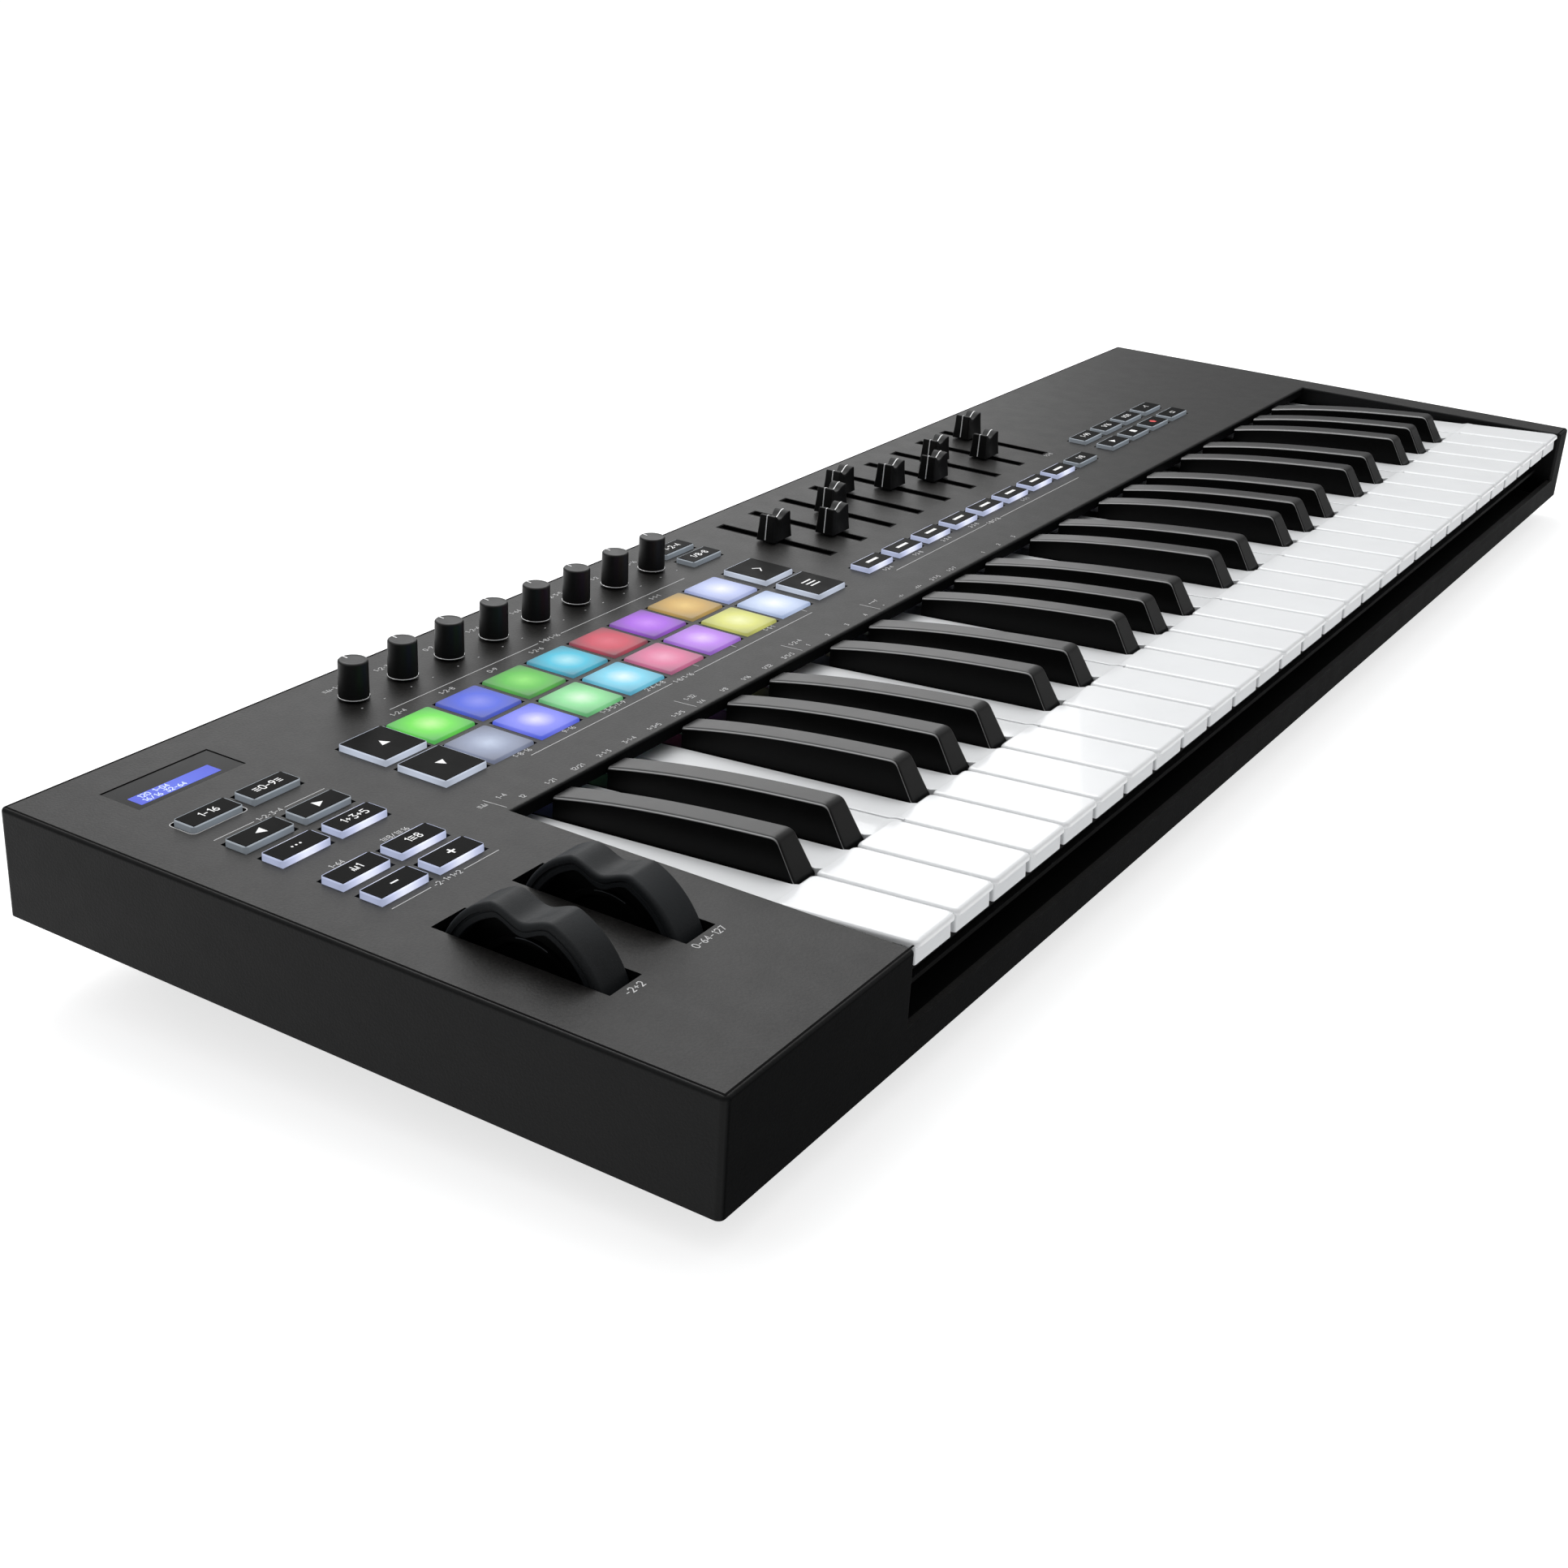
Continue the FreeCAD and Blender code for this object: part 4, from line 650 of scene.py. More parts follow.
def build_knob(number):
    """Tapered knob with a bore for its shaft, a glossy collar in bright metal as a painted highlight, and a white
    pointer at the back.
    """
    node = f"knob_{number}"
    axle = TO_CASE @ Vector(JOINTS[node + "_turn"]["pos_m"])
    place = Matrix.Translation((axle.x, axle.y, PANEL))
    waist = KNOB_RADIUS - COLLAR_LIP
    brim = KNOB_FOOT + 2 * COLLAR_LIP
    shoulder = (KNOB_NECK - KNOB_EDGE, KNOB_TOP - KNOB_EDGE)
    highlight_collar = [(BORE_RADIUS, BORE_TOP), (BORE_RADIUS, KNOB_FOOT), (waist, KNOB_FOOT)]
    highlight_collar += arc((waist, KNOB_FOOT + COLLAR_LIP), COLLAR_LIP, -75, 90, 8)
    highlight_collar += [(waist - 0.05, brim)]
    body = [(waist - 0.05, brim - 0.1), (waist, brim + 0.05)]
    body += arc(shoulder, KNOB_EDGE, 4, 90, 6)
    body += [(KNOB_NECK - 1.2, KNOB_TOP - 0.03), (KNOB_NECK - 1.35, KNOB_TOP - 0.12)]
    shape = Shape()
    shape.turned(highlight_collar, place, 1)
    shape.turned(body, place)
    pointer = [(KNOB_NECK - 2.6, KNOB_TOP - 0.1), (KNOB_NECK - 1.2, KNOB_TOP)]
    pointer += arc(shoulder, KNOB_EDGE + 0.04, 90, 20, 5)
    corners = rectangle(-POINTER_HALF, POINTER_HALF, 0, POINTER_THICK)
    shape.loft([[place @ Vector((x, y - drop, z - drop)) for x, drop in corners] for y, z in pointer], 2)
    shape.make(node + "_look", ("knob", "highlight_collar", "mark"), node, "knob", stands_for=(node,))


for number in range(1, 9):
    build_knob(number)


FADER_FOOT = 0.8
FADER_TOP = 11.6
FADER_SCOOP = 2.5
FADER_LEAN = 0.8
FADER_TAPER = 0.75
FADER_WAIST = 0.9
FADER_EDGE = 0.45
FADER_STATIONS = 24
FADER_LINE_HALF = 0.22
FADER_LINE_THICK = 0.15
STEM_WIDE = 0.6
STEM_DEEP = 1.9
STEM_FOOT = 6.0


def build_fader_cap(number):
    """Cap with a scooped top, hollowed front and back faces and a white line over its middle."""
    node = f"fader_cap_{number}"
    cap = caps_of(node)[0]

    def across(share, height):
        """x at a share of the way to the end, -1 to 1; the ends lean inwards."""
        return cap.x + share * (cap.wide - FADER_LEAN * height / FADER_TOP)

    def crest(share):
        """Height of the scooped top at that share."""
        return FADER_TOP - FADER_SCOOP * math.cos(math.pi / 2 * min(1, abs(share) * 1.12)) ** 2

    def section(share):
        """Outline of y and height at that share, shrunk near the ends so that their edges are round."""
        from_end = (1 - abs(share)) * cap.wide
        shrink = 0.0
        if from_end < FADER_EDGE:
            shrink = FADER_EDGE - math.sqrt(FADER_EDGE ** 2 - (FADER_EDGE - from_end) ** 2)
        top = crest(share) - shrink
        waist = FADER_WAIST * math.cos(math.pi / 2 * share) ** 2
        foot_half = cap.deep - shrink
        top_half = cap.deep - FADER_TAPER - waist - shrink
        outline = [(-foot_half, FADER_FOOT)]
        for step in range(1, 6):
            height = FADER_FOOT + (top - 0.5 - FADER_FOOT) * step / 6
            half = foot_half + (top_half - foot_half) * math.sin(math.pi / 2 * step / 6)
            outline.append((-half, height))
        outline += [(-top_half, top - 0.5), (0.15 - top_half, top - 0.15), (0.5 - top_half, top)]
        outline += [(-y, z) for y, z in reversed(outline)]
        return [(across(share, z), cap.y + y, PANEL + z) for y, z in outline]

    ends = [1 - FADER_EDGE / cap.wide * (1 - math.cos(math.radians(turn))) for turn in (0, 30, 60, 90)]
    middle = [1 - FADER_EDGE / cap.wide - step / FADER_STATIONS for step in range(1, FADER_STATIONS)]
    right = {share for share in ends + middle if share > 0}
    shares = sorted(right | {-share for share in right})
    shape = Shape()
    shape.loft([section(share) for share in shares])
    line = []
    for height in (0, 5, 9.6):
        x = across(-1.0, FADER_FOOT + 0.5 + height) - SIGN_PROUD
        z = PANEL + FADER_FOOT + 0.5 + height
        line.append(((x, z), (x + FADER_LINE_THICK, z)))
    for share in shares[1:-1]:
        x = across(share, crest(share))
        z = PANEL + crest(share) + SIGN_PROUD
        line.append(((x, z), (x, z - FADER_LINE_THICK)))
    near, far = cap.y - FADER_LINE_HALF, cap.y + FADER_LINE_HALF
    shape.loft([[(a, near, b), (a, far, b), (c, far, d), (c, near, d)] for (a, b), (c, d) in line], 1)
    stem = rectangle(cap.x - STEM_WIDE, cap.x + STEM_WIDE, cap.y - STEM_DEEP, cap.y + STEM_DEEP)
    shape.plate(stem, PANEL - STEM_FOOT, PANEL + FADER_FOOT + 0.4, 2)
    looks = ("fader_cap", "mark", "steel")
    shape.make(node + "_look", looks, node, "fader_cap", angle=32, stands_for=(node,))


for number in range(1, 10):
    build_fader_cap(number)


WHEEL_RADIUS = 28.5
WHEEL_HALF = 6.5
WHEEL_SCOOP = 4.5
SCOOP_HALF_ANGLE = 20.5
WHEEL_END = -9.0
WHEEL_STEPS = 132
RIM = 4.4
WEB = 1.6
HUB_RADIUS = 7.0
AXLE_RADIUS = 3.05


def build_wheel(node):
    """Rubber wheel: a rim with a scoop for the fingertip, a recessed web with a raised ring, a hub, and thin light
    lines as painted highlights.
    """
    axle = TO_CASE @ Vector(JOINTS[node + "_turn"]["pos_m"])

    def surface(turn):
        """Radius of the rim's tread at an angle from the back."""
        off = abs(turn - 90) / (2 * SCOOP_HALF_ANGLE)
        return WHEEL_RADIUS - (WHEEL_SCOOP * math.cos(math.pi * off) ** 1.4 if off < 0.5 else 0)

    def at(turn, outline):
        """An outline of x and radius, put at an angle from the back."""
        angle = math.radians(turn)
        return [(axle.x + x, axle.y + r * math.cos(angle), axle.z + r * math.sin(angle)) for x, r in outline]

    def across(side, turn):
        """A closed outline about the wheel's middle plane."""
        return at(turn, side + [(-x, r) for x, r in reversed(side)])

    def rim(turn):
        """The rim's outline: a rounded tread, a groove in each side, and a ledge on the web."""
        outer = surface(turn)
        side = [(x + WHEEL_HALF - 1.3, r + outer - 1.3) for x, r in arc((0, 0), 1.3, 90, 0, 5)]
        side += [(WHEEL_HALF, outer - 2.0), (WHEEL_HALF - 0.6, outer - 2.2), (WHEEL_HALF - 0.6, outer - 2.6)]
        side += [(WHEEL_HALF - 0.3, outer - 2.8), (WHEEL_HALF - 0.3, outer - RIM + 0.2)]
        side += [(WHEEL_HALF - 0.6, outer - RIM), (WEB - 0.4, outer - RIM)]
        return across(side, turn)

    def web(turn):
        """The web's outline, from inside the rim to inside the hub."""
        side = [(WEB, surface(turn) - RIM + 0.2), (WEB, 17.6), (WEB + 1.2, 17.3)]
        side += [(WEB + 1.2, 15.8), (WEB, 15.5), (WEB, HUB_RADIUS - 0.5)]
        return across(side, turn)

    def highlight_bead(side, turn, x, r):
        """The outline of a thin raised line on a side of the wheel, which carries a painted highlight."""
        corners = rectangle(x - 0.2, x + 0.1, r - 0.15, r + 0.15)
        return at(turn, [(side * a, b) for a, b in corners])

    turns = [WHEEL_END + (180 - 2 * WHEEL_END) * step / WHEEL_STEPS for step in range(WHEEL_STEPS + 1)]
    shape = Shape()
    shape.loft([rim(turn) for turn in turns])
    shape.loft([web(turn) for turn in turns], 1)
    # Painted highlights: a light line along the rim's inner edge on each side, and a short arc on the web's ring
    # as a crescent.
    for side in (-1, 1):
        shape.loft([highlight_bead(side, turn, WHEEL_HALF - 0.6, surface(turn) - RIM + 0.2) for turn in turns], 2)
        shape.loft([highlight_bead(side, turn, WEB + 1.2, 17.15) for turn in range(76, 114, 2)], 2)
    hub = rectangle(-WHEEL_HALF, WHEEL_HALF, AXLE_RADIUS, HUB_RADIUS)
    shape.loft([at(turn, hub) for turn in range(0, 360, 9)], 1, wrap=True)
    looks = ("wheel", "wheel_web", "wheel_edge_highlight")
    shape.make(node + "_look", looks, node, "wheel", angle=38, stands_for=(node,))


for node in ("pitch_wheel", "mod_wheel"):
    build_wheel(node)


# -------- keys

KEY_DEPTH = 7.65
KEY_SKIN = 1.6
KEY_ROOF = 1.8
TAIL_END = 150.0
LUG_END = 177.0
LUG_HALF = 4.0
LUG_TOP = -1.4
SEAT_RADIUS = 1.65
LIP_THICK = 2.3
LIP_CORNER = 1.9
SKIRT_BACK = 0.5
SKIRT_SIDE = 0.8
SHOULDER = 1.3
HEAD_END = 46.8
RAMP_START = 46.0
RAMP_END = 48.6
TAIL_STEP = 0.6
TAIL_EDGE = 0.35

BLACK_TOP = 11.5
BLACK_BACK = 6.2
BLACK_FOOT_HALF = 5.6
BLACK_TOP_HALF = 4.7
BLACK_EDGE = 1.1
NOSE_START = 48.2
NOSE_END = 57.6
BLACK_END = 134.9
BLACK_STEPS = 14


def in_bed(island):
    """A solid's points in bed millimetres."""
    return [TO_BED @ point for point in island]


def hinge_hook(shape, name, x):
    """The lug behind a key, down to its half round seat over the hinge rod."""
    pivot = TO_BED @ Vector(JOINTS[name + "_press"]["pos_m"])
    start, low = TAIL_END - 0.5, 0.3 - KEY_DEPTH
    hook = [(start, low), (start, LUG_TOP), (LUG_END, LUG_TOP), (LUG_END, pivot.z)]
    hook += arc((pivot.y, pivot.z), SEAT_RADIUS, 0, 180, 10)
    hook += [(pivot.y - SEAT_RADIUS, low)]
    shape.loft([[(x + side, y, z) for y, z in hook] for side in (-LUG_HALF, LUG_HALF)])


def shell(left, right, y, top, edge):
    """Outline across a hollow key at y: an upside down U with rounded outer edges."""
    outer = [(right - edge + a, top - edge + b) for a, b in arc((0, 0), edge, 0, 90, 4)]
    outer += [(left + edge + a, top - edge + b) for a, b in arc((0, 0), edge, 90, 180, 4)]
    outline = [(right, -KEY_DEPTH)] + outer + [(left, -KEY_DEPTH)]
    roof = top - KEY_ROOF
    outline += [(left + KEY_SKIN, -KEY_DEPTH), (left + KEY_SKIN, roof)]
    outline += [(right - KEY_SKIN, roof), (right - KEY_SKIN, -KEY_DEPTH)]
    return [(x, y, z) for x, z in outline]


def build_white_keys(name):
    """The white keys of one note: rounded head with an overhanging lip, lower tail and hinge hook."""
    keys = sorted((in_bed(island) for island in solids(name)), key=lambda points: min(p.x for p in points))
    for number, points in enumerate(keys, 1):
        across = [p.x for p in points if p.y < RAMP_START - 10]
        left, right = min(across), max(across)
        behind = [p.x for p in points if abs(p.y - TAIL_END) < 0.1]
        tail_left, tail_right = min(behind), max(behind)

        def level(z, front, inset, corner):
            """A rectangle round the head at height z, its front edge at a distance from the lip's."""
            low, high = front + inset, HEAD_END - inset
            cap = Cap((left + right) / 2, (low + high) / 2, (right - left) / 2 - inset, (high - low) / 2, z)
            return ring(cap, z, 0, corner, 3)

        skirt = [level(z, SKIRT_BACK, SKIRT_SIDE + KEY_SKIN, 0.3) for z in (-2.6, -KEY_DEPTH)]
        skirt += [level(z, SKIRT_BACK, SKIRT_SIDE, 0.6) for z in (-KEY_DEPTH, -LIP_THICK + 0.1)]
        head = [level(-LIP_THICK, 0.0, 0.4, LIP_CORNER), level(0.4 - LIP_THICK, 0.0, 0.0, LIP_CORNER)]
        for a, b in arc((0, 0), SHOULDER, 0, 90, 6):
            head.append(level(b - SHOULDER, 0.0, SHOULDER - a, LIP_CORNER))
        shape = Shape()
        # The skirt takes the darker white as painted shade.
        shape.loft(skirt, 1)
        shape.loft(head)
        tops = [(y, -0.03) for y in (RAMP_START - 2.5, RAMP_START)]
        tops += [(y, -TAIL_STEP) for y in (RAMP_END, TAIL_END)]
        shape.loft([shell(tail_left, tail_right, y, top, TAIL_EDGE) for y, top in tops])
        end = rectangle(tail_left + 0.2, tail_right - 0.2, TAIL_END - 6, TAIL_END - 0.1)
        shape.plate(end, -KEY_DEPTH + 0.1, -TAIL_STEP - 1)
        hinge_hook(shape, name, (tail_left + tail_right) / 2)
        shape.make(f"{name}_{number}", ("white_key", "white_key_shaded_skirt"), name, "white_key", BED, angle=35,
                   stands_for=(name,) if number == 1 else ())


def black_section(x, y, top):
    """Outline across a black key: leaning sides and rounded top edges."""
    lean = (BLACK_FOOT_HALF - BLACK_TOP_HALF) * max(0.0, top + 0.5) / (BLACK_TOP + 0.5)
    edge = BLACK_FOOT_HALF - lean - BLACK_EDGE
    side = [(BLACK_FOOT_HALF, -KEY_DEPTH), (BLACK_FOOT_HALF, min(-0.5, top - BLACK_EDGE))]
    side += [(edge + a, top - BLACK_EDGE + b) for a, b in arc((0, 0), BLACK_EDGE, 0, 90, 5)]
    inner = [(KEY_SKIN - BLACK_FOOT_HALF, -KEY_DEPTH), (KEY_SKIN - BLACK_FOOT_HALF, -3.0)]
    outline = side + [(-a, z) for a, z in reversed(side)] + inner + [(-a, z) for a, z in reversed(inner)]
    return [(x + a, y, z) for a, z in outline]


def build_black_keys(name):
    """The black keys of one note: leaning nose, top that falls towards the back, tail and hinge hook."""
    rise = ((0, -1.0), (0.9, 0.4), (5.7, 9.5), (6.25, 10.4), (6.9, 11.0), (7.7, 11.35), (8.6, 11.48))
    nose = [(NOSE_START + y, top) for y, top in rise] + [(NOSE_END, BLACK_TOP)]
    sides = [[point.x for point in in_bed(island)] for island in solids(name)]
    middles = sorted((min(xs) + max(xs)) / 2 for xs in sides)
    for number, x in enumerate(middles, 1):
        rings = [black_section(x, y, top) for y, top in nose]
        for step in range(1, BLACK_STEPS + 1):
            share = step / BLACK_STEPS
            top = BLACK_TOP - (BLACK_TOP - BLACK_BACK) * (0.25 * share + 0.75 * share ** 2.6)
            rings.append(black_section(x, NOSE_END + (BLACK_END - NOSE_END) * share, top))
        rings.append(black_section(x, BLACK_END + 0.3, -1.2))
        rings.append(black_section(x, TAIL_END, -1.2))
        shape = Shape()
        shape.loft(rings)
        hinge_hook(shape, name, x)
        shape.make(f"{name}_{number}", ("black_key",), name, "black_key", BED, angle=35,
                   stands_for=(name,) if number == 1 else ())


for name in ("key_c", "key_d", "key_e", "key_f", "key_g", "key_a", "key_b"):
    build_white_keys(name)
for name in ("key_c_sharp", "key_d_sharp", "key_f_sharp", "key_g_sharp", "key_a_sharp"):
    build_black_keys(name)


# -------- display

# Half the depth of the window's glass, and how far it lies under the panel.
GLASS_DEEP = 8.5
GLASS_LOW = 0.25


def build_display():
    """Dark window with the lit part of the screen and its digits."""
    low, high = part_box("display_window")
    middle = TO_CASE @ ((low + high) / 2)
    wide = (high.x - low.x) / MM / 2
    pane = Cap(middle.x, middle.y, wide, GLASS_DEEP, PANEL)
    top = PANEL - GLASS_LOW
    shape = Shape()
    shape.loft([
        ring(pane, PANEL - 1.4, 0, 0.4, 2),
        ring(pane, top - 0.15, 0, 0.4, 2),
        ring(pane, top, 0.15, 0.5, 2),
    ])
    shape.make("display_glass", ("glass",), "casing", "glass", stands_for=("display_window",))
    lit = Cap(middle.x - 2.4, middle.y - 3.0, 16.0, 3.1, top)
    shape = Shape()
    shape.loft([ring(lit, top - 0.1, 0, 0.3, 2), ring(lit, top + 0.03, 0, 0.3, 2)])
    write(shape, "120 1-04", lit.x - 7.2, lit.y + 1.5, top + 0.03, 2.0, 0.34, 1)
    write(shape, "16/16 32-64", lit.x - 5.4, lit.y - 1.4, top + 0.03, 2.0, 0.34, 1)
    shape.make("display_screen", ("screen", "screen_mark"), "casing", "lcd", origin=standing_at(lit.x, lit.y))


build_display()


# -------- printed marks

# The width of printed lines and the height of printed signs.
LINE = 0.28
LABEL = 1.9


def draw(shape, points, width=LINE):
    """A printed line on the panel."""
    shape.stroke(points, width, PANEL - SUNK, PANEL + LINE_PROUD)


def draw_faint(shape, points, width, finish=0):
    """A line of that width on the panel, lower than the printed ones."""
    shape.stroke(points, width, PANEL - SUNK, PANEL + FAINT_PROUD, finish)


def label(shape, signs, x, y, height=LABEL, line=0.26):
    """Signs on the panel."""
    write(shape, signs, x, y, PANEL, height, line)


def print_on(shape, name, *looks):
    """Finishes printed marks, which ride on the casing."""
    shape.make(name, looks, "casing", "case", angle=20)


def bracket(shape, left, right, y, middle, word):
    """A line under or over a group, broken for its sign."""
    half = measure(word) * LABEL / 2 + 1.4
    for start, end in ((left, middle - half), (middle + half, right)):
        draw(shape, [(start, y), (end, y)])
    label(shape, word, middle, y)


def print_left():
    """Signs about the wheels and the left hand buttons."""
    shape = Shape()
    setup = caps_of("setup_buttons")
    track = caps_of("track_buttons")
    octave = caps_of("octave_buttons")
    modes = caps_of("mode_buttons")
    bracket(shape, track[0].x - 9.9, track[1].x + 11.3, track[0].y + 8.3, track[0].x + 12.2, "1-2-3-4")
    bracket(shape, octave[0].x - 9.9, octave[1].x + 11.7, octave[0].y - 7.8, octave[0].x + 13.2, "-2-1+1+2")
    label(shape, "1-64", modes[0].x + 0.6, modes[0].y + 7.9)
    label(shape, "1=8/1=16", modes[1].x + 0.8, modes[0].y + 7.9)
    outline = Cap(setup[0].x, setup[0].y, setup[0].wide + 0.9, setup[0].deep + 0.7, PANEL)
    points = [(x, y) for x, y, _ in ring(outline, 0, 0, 1.6, 3)]
    draw(shape, points + points[:1])
    for node, signs in (("pitch_wheel", "-2+2"), ("mod_wheel", "0-64-127")):
        wheel = caps_of(node)[0]
        label(shape, signs, wheel.x, wheel.y - wheel.deep - 7.5, 2.3, 0.3)
    print_on(shape, "print_left", "print")


# The back edge of the key well lies between these distances along the panel, and the controls behind it.
WELL_NEAR = 120.0
WELL_FAR = 150.0


def well_back(start):
    """The y of the key well's back edge, for keys that start at that x."""
    points = [TO_CASE @ vertex.co for vertex in frame["nodes"]["top_case"].data.vertices]
    level = [p for p in points if abs(p.z - PANEL) < 0.05 and p.x > start - 4]
    return min(p.y for p in level if WELL_NEAR < p.y < WELL_FAR)


SEMITONE_LABELS = (
    "12", "1-21", "12/21", "2-1-3", "3-1-4", "1+3+5", "1-3/5", "1/4", "1/8", "1/16", "1/32", "3/3/3",
    "1", "2", "3", "4", ".", "./.", ".//.", "2-7-5", "1-3-7", "", "1", "2", "3",
)
# The signs stand this much wider than the keys' semitones.
SEMITONE_STRETCH = 1.006
# Each group of signs has a separator this many semitones along, with a sign before it and one after it.
GROUP_HEADS = ((-0.18, "=#", "1-4"), (7.14, "", "1-32"), (12.05, "", "1-2-4"), (16.14, "", ".-../"))


def print_keys():
    """Signs along the key well, one for each semitone, with separators between the groups."""
    shape = Shape()
    lefts = sorted(min(point.x for point in island) for island in solids("key_c"))
    semitone = (lefts[1] - lefts[0]) / MM / 12 * SEMITONE_STRETCH
    start = (TO_CASE @ Vector((lefts[0], 0, 0))).x
    y = well_back(start) + 2.6
    for number, signs in enumerate(SEMITONE_LABELS):
        label(shape, signs, start + (number + 0.5) * semitone, y, 1.7, 0.25)
    for number, before, after in GROUP_HEADS:
        x = start + number * semitone
        draw(shape, [(x - 0.4, y + 7.4), (x + 0.4, y - 1.2)], 0.25)
        label(shape, before, x - 3.6, y + 5.0)
        label(shape, after, x + 5.4, y + 5.0)
    print_on(shape, "print_keys", "print")


def print_pads():
    """Signs about the pads and the knobs."""
    shape = Shape()
    upper = caps_of("upper_pads")
    lower = caps_of("lower_pads")
    high = upper[0].y + 15.0
    low = lower[0].y - 12.2
    for pad, signs in zip(upper, ("1-2-4", "1-2-8", "0-9", "1-2-6", "", "", "1-1-1")):
        label(shape, signs, pad.x + 1.5, high)
    for pad, signs in zip(lower, ("1-8-16", "9-16", "1-3-5-7-9", "2-4-6-8", "", "", "1-1-1")):
        label(shape, signs, pad.x + 1.5, low)
    for pad in lower[4:]:
        draw(shape, [(pad.x + 2.0, low - 1.2), (pad.x + 2.0, low + 1.2)])
    bracket(shape, upper[0].x + 1.5, upper[7].x + 2.5, high + 3.7, upper[0].x + 86.5, "1-8/1-16")
    bracket(shape, lower[0].x + 1.8, lower[7].x + 2.2, low - 3.3, lower[0].x + 86.2, "1-8/1-16")
    words = ("=#-1-9", "1-2-3", "0-9", "1-2-4", "1-64", "2-3-5", "1-2", "8-16")
    for number, word in enumerate(words, 1):
        axle = TO_CASE @ Vector(JOINTS[f"knob_{number}_turn"]["pos_m"])
        for sign, aside in ((".", -5.0), ("-", 6.0)):
            label(shape, sign, axle.x + aside, axle.y - 8.0, 1.5, 0.3)
        label(shape, word, axle.x + 1.0, axle.y + 10.5)
    print_on(shape, "print_pads", "print")


def fader_travel(number):
    """A fader cap at rest, and the y of its middle at both ends of its travel."""
    cap = caps_of(f"fader_cap_{number}")[0]
    low, high = (value / MM for value in JOINTS[f"fader_cap_{number}_slide"]["range_m"])
    return cap, cap.y + low, cap.y + high


def print_faders():
    """Signs about the fader buttons, and faint tick marks beside the fader slots."""
    shape = Shape()
    buttons = caps_of("fader_buttons")
    y = buttons[0].y - 7.5
    for button, signs in zip(buttons, ("1-2-4", "1-2-8", "2-2-4", "2-2-8", "", "1-1-1")):
        label(shape, signs, button.x, y, 1.8)
    bracket(shape, buttons[0].x + 0.4, buttons[7].x - 1.3, y - 3.7, buttons[0].x + 85.0, "1-8/1-16")
    label(shape, "1-2-8", caps_of("fader_cap_9")[0].x - 1.0, y + 23.7, 1.8)
    for number in range(1, 10):
        cap, low, high = fader_travel(number)
        for step in range(5):
            y = low + (high - low) * step / 4
            for side in (-1, 1):
                draw_faint(shape, [(cap.x + side * 3.6, y), (cap.x + side * 5.6, y)], 0.2, 1)
    print_on(shape, "print_faders", "print", "print_faint")


# Half the width of a fader slot inside its lining, how far the slot reaches past the cap's travel, and the widths
# of the black border and of the lining, both painted shade.
SLOT_HALF = 2.04
SLOT_END = 2.44
SLOT_SHADE_BORDER = 0.9
SHADE_LINING = 0.1


def shade_slots():
    """Painted shade in each fader slot: a black sheet on its walls and a black border round it on the panel."""
    for number in range(1, 10):
        cap, low, high = fader_travel(number)
        left, right = cap.x - SLOT_HALF, cap.x + SLOT_HALF
        near, far = low - SLOT_END, high + SLOT_END
        wall = rectangle(left, right, near, far) + [(left, near)]
        out = (SLOT_SHADE_BORDER + SHADE_LINING) / 2
        border = [(x + out * (1 if x > cap.x else -1), y + out * (1 if y == far else -1)) for x, y in wall]
        shape = Shape()
        shape.stroke(wall, SHADE_LINING, PANEL - 2.6, PANEL - 0.02)
        draw_faint(shape, border, SLOT_SHADE_BORDER)
        print_on(shape, f"slot_shade_{number}", "seam_and_slot_shade")


def print_seam():
    """The dark line round the panel's edge, open at the front where the keys are."""
    inset = 1.4
    left = (TO_CASE @ KEYS_LOW).x - 1.2
    right = (TO_CASE @ KEYS_HIGH).x + 1.2
    line = [(left, inset), (inset, inset), (inset, DEPTH - inset), (WIDTH - inset, DEPTH - inset)]
    line += [(WIDTH - inset, inset), (right, inset)]
    shape = Shape()
    draw_faint(shape, line, 0.7)
    print_on(shape, "print_seam", "seam_and_slot_shade")


shade_slots()
print_seam()
print_left()
print_keys()
print_pads()
print_faders()


# -------- CAD nodes keep their shapes

for subpart in frame["record"]["subparts"]:
    node = frame["nodes"][subpart["node"]]
    node.data.materials.clear()
    node.data.materials.append(LOOKS[subpart["material_slot"]])


# -------- studio

FLOOR_HALF = 30.0


def build_floor():
    """Plain pale floor."""
    data = bpy.data.meshes.new("floor")
    corners = [(x, y, 0) for x, y in rectangle(-FLOOR_HALF, FLOOR_HALF, -FLOOR_HALF, FLOOR_HALF)]
    data.from_pydata(corners, [], [(0, 1, 2, 3)])
    look = Look("floor", Roughness=0.9, Specular_IOR_Level=0.1, Emission_Strength=0.72)
    look.set("Base Color", look.mix(look.spread(look.noise(400, 3.0), 0, 1), grey(0.5), grey(0.53)))
    look.set("Emission Color", (1, 1, 1, 1))
    data.materials.append(look.material)
    floor = new_object("floor", data)


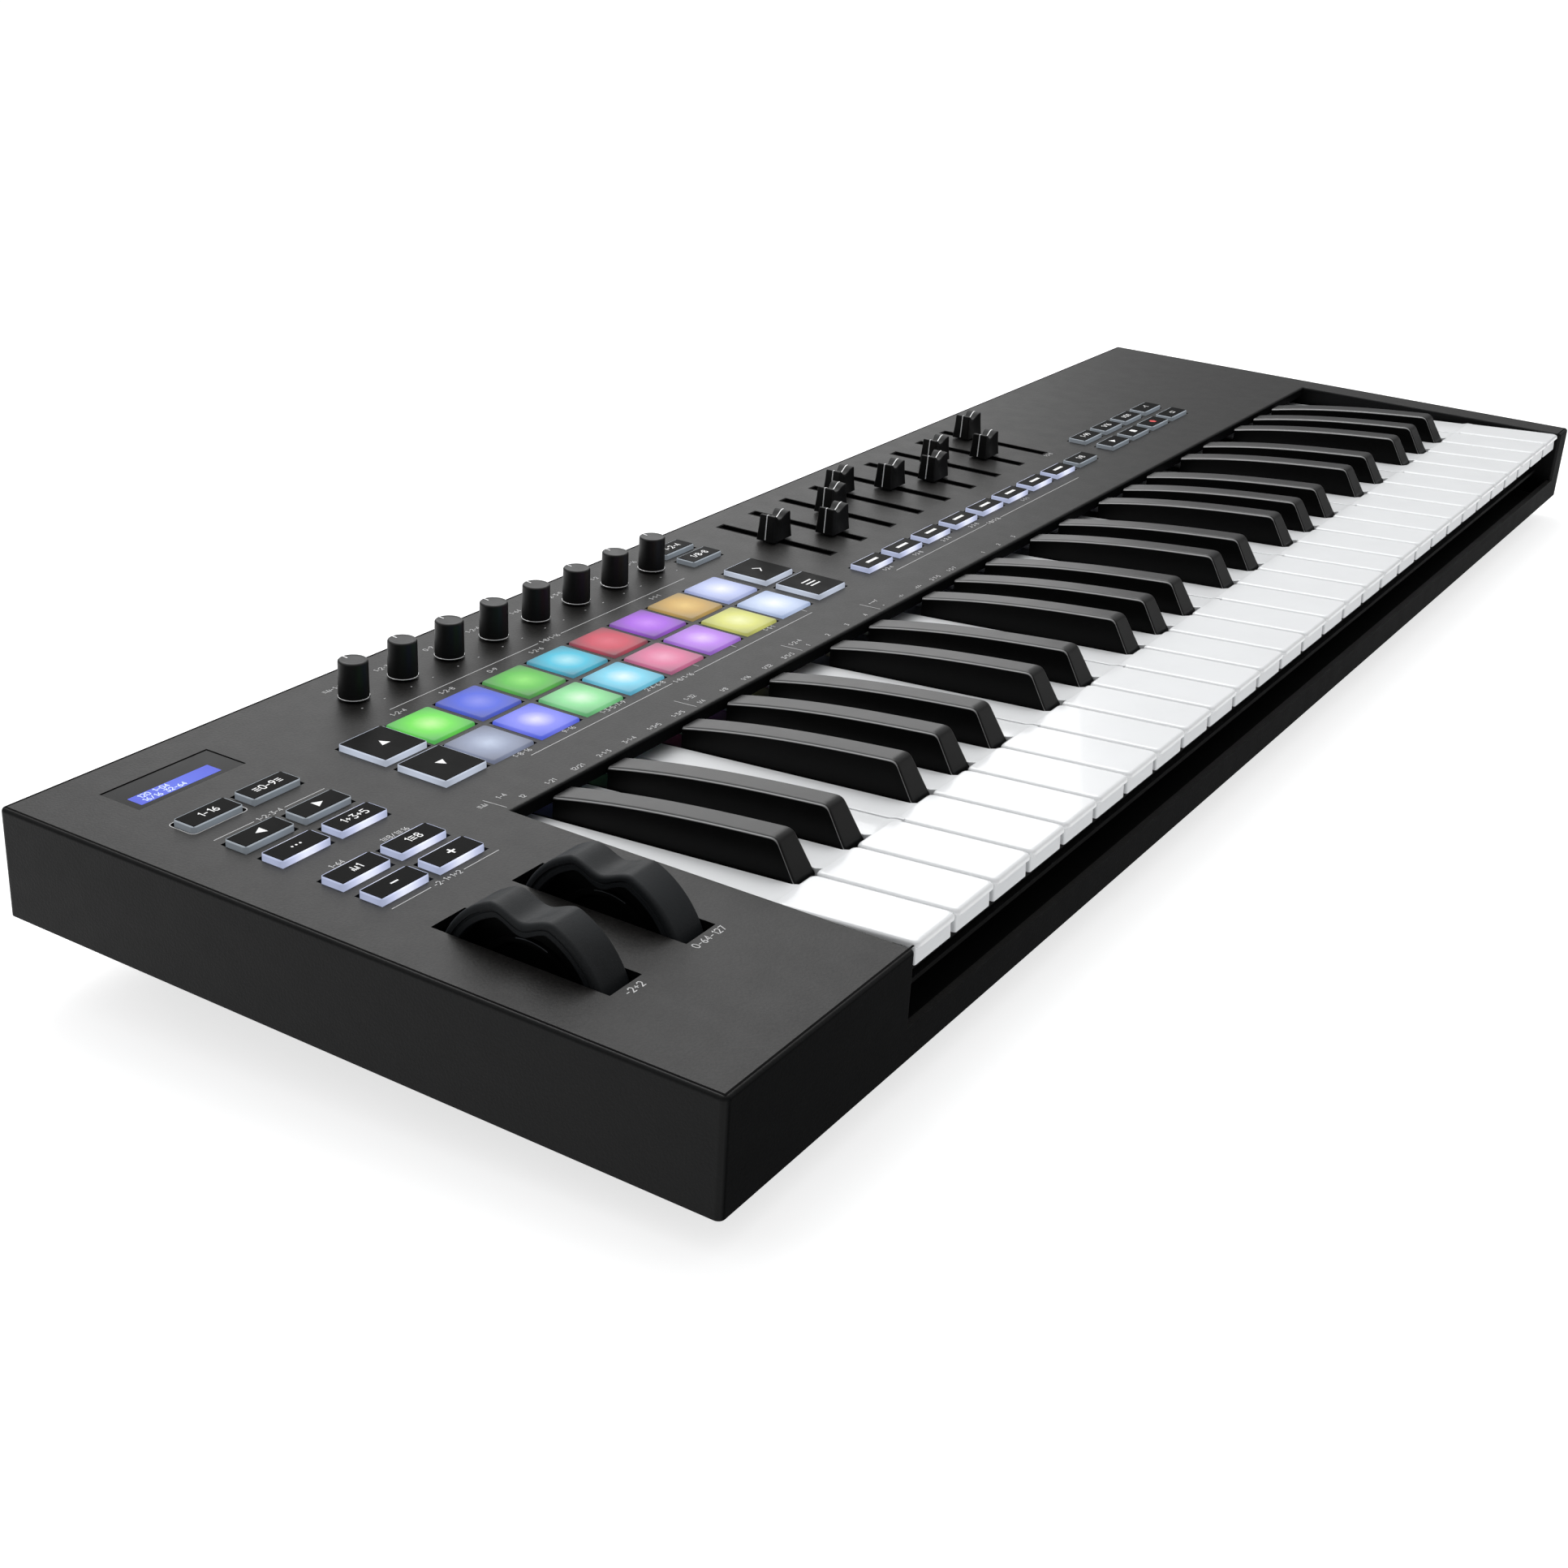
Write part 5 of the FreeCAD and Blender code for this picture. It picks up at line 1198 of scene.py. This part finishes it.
def build_world():
    """Soft studio light that is brightest overhead and fades towards the horizon."""
    world = bpy.data.worlds.new("studio")
    world.use_nodes = True
    tree = world.node_tree
    place = tree.nodes.new("ShaderNodeTexCoord")
    facing = tree.nodes.new("ShaderNodeVectorMath")
    facing.operation = "DOT_PRODUCT"
    feed(facing, {0: place.outputs["Generated"], 1: Vector((0.12, 0.15, 0.98)).normalized()})
    level = tree.nodes.new("ShaderNodeMapRange")
    level.interpolation_type = "SMOOTHSTEP"
    feed(level, {"From Min": 0.1, "From Max": 0.9, "To Min": 0.13, "To Max": 0.88})
    feed(level, {"Value": facing.outputs["Value"]})
    feed(tree.nodes["Background"], {"Color": (0.98, 0.99, 1.0, 1), "Strength": level.outputs["Result"]})
    bpy.context.scene.world = world


def area_light(name, place, target, size, power):
    """A white lamp of that width and height, in metres and watts, turned to its target."""
    data = bpy.data.lights.new(name, "AREA")
    data.shape = "RECTANGLE"
    data.size, data.size_y = size
    data.energy = power
    lamp = new_object(name, data)
    lamp.location = place
    lamp.rotation_euler = (Vector(target) - Vector(place)).to_track_quat("-Z", "Y").to_euler()


# The camera's place in case millimetres, where it looks and its picture's right side on the case's axes.
CAMERA_PLACE = (-362.8, -225.3, 312.65)
CAMERA_AIM = (0.77266, 0.47854, -0.41713)
CAMERA_RIGHT = (0.54448, -0.83741, 0.04787)
CAMERA_LENS = 49.445
CAMERA_SHIFT = 0.0244


def build_camera():
    """The camera stands off the front left corner and looks along the keys."""
    data = bpy.data.cameras.new("camera")
    data.lens = CAMERA_LENS
    data.sensor_width = 36.0
    data.shift_x = CAMERA_SHIFT
    data.clip_start = 0.01
    data.clip_end = 50.0
    camera = new_object("camera", data)
    turn = TURN.to_3x3()
    behind = -(turn @ Vector(CAMERA_AIM)).normalized()
    over = behind.cross(turn @ Vector(CAMERA_RIGHT)).normalized()
    across = over.cross(behind)
    rotation = Matrix((across, over, behind)).transposed().to_4x4()
    camera.matrix_world = Matrix.Translation(CASE @ Vector(CAMERA_PLACE)) @ rotation
    bpy.context.scene.camera = camera


build_floor()
build_world()
area_light("overhead", (0.7, 0.8, 2.0), (0, 0, 0), (1.7, 1.7), 34)
area_light("behind", (1.8, 1.6, 0.9), (0, 0, 0.05), (1.6, 1.0), 8)
area_light("front", (2.2, -1.8, 0.55), (0.1, 0, 0.05), (1.6, 0.6), 1.6)
area_light("left", (-1.6, 1.0, 1.25), (0, 0, 0.05), (0.8, 0.8), 2)
build_camera()
bpy.context.scene.view_settings.view_transform = "Standard"
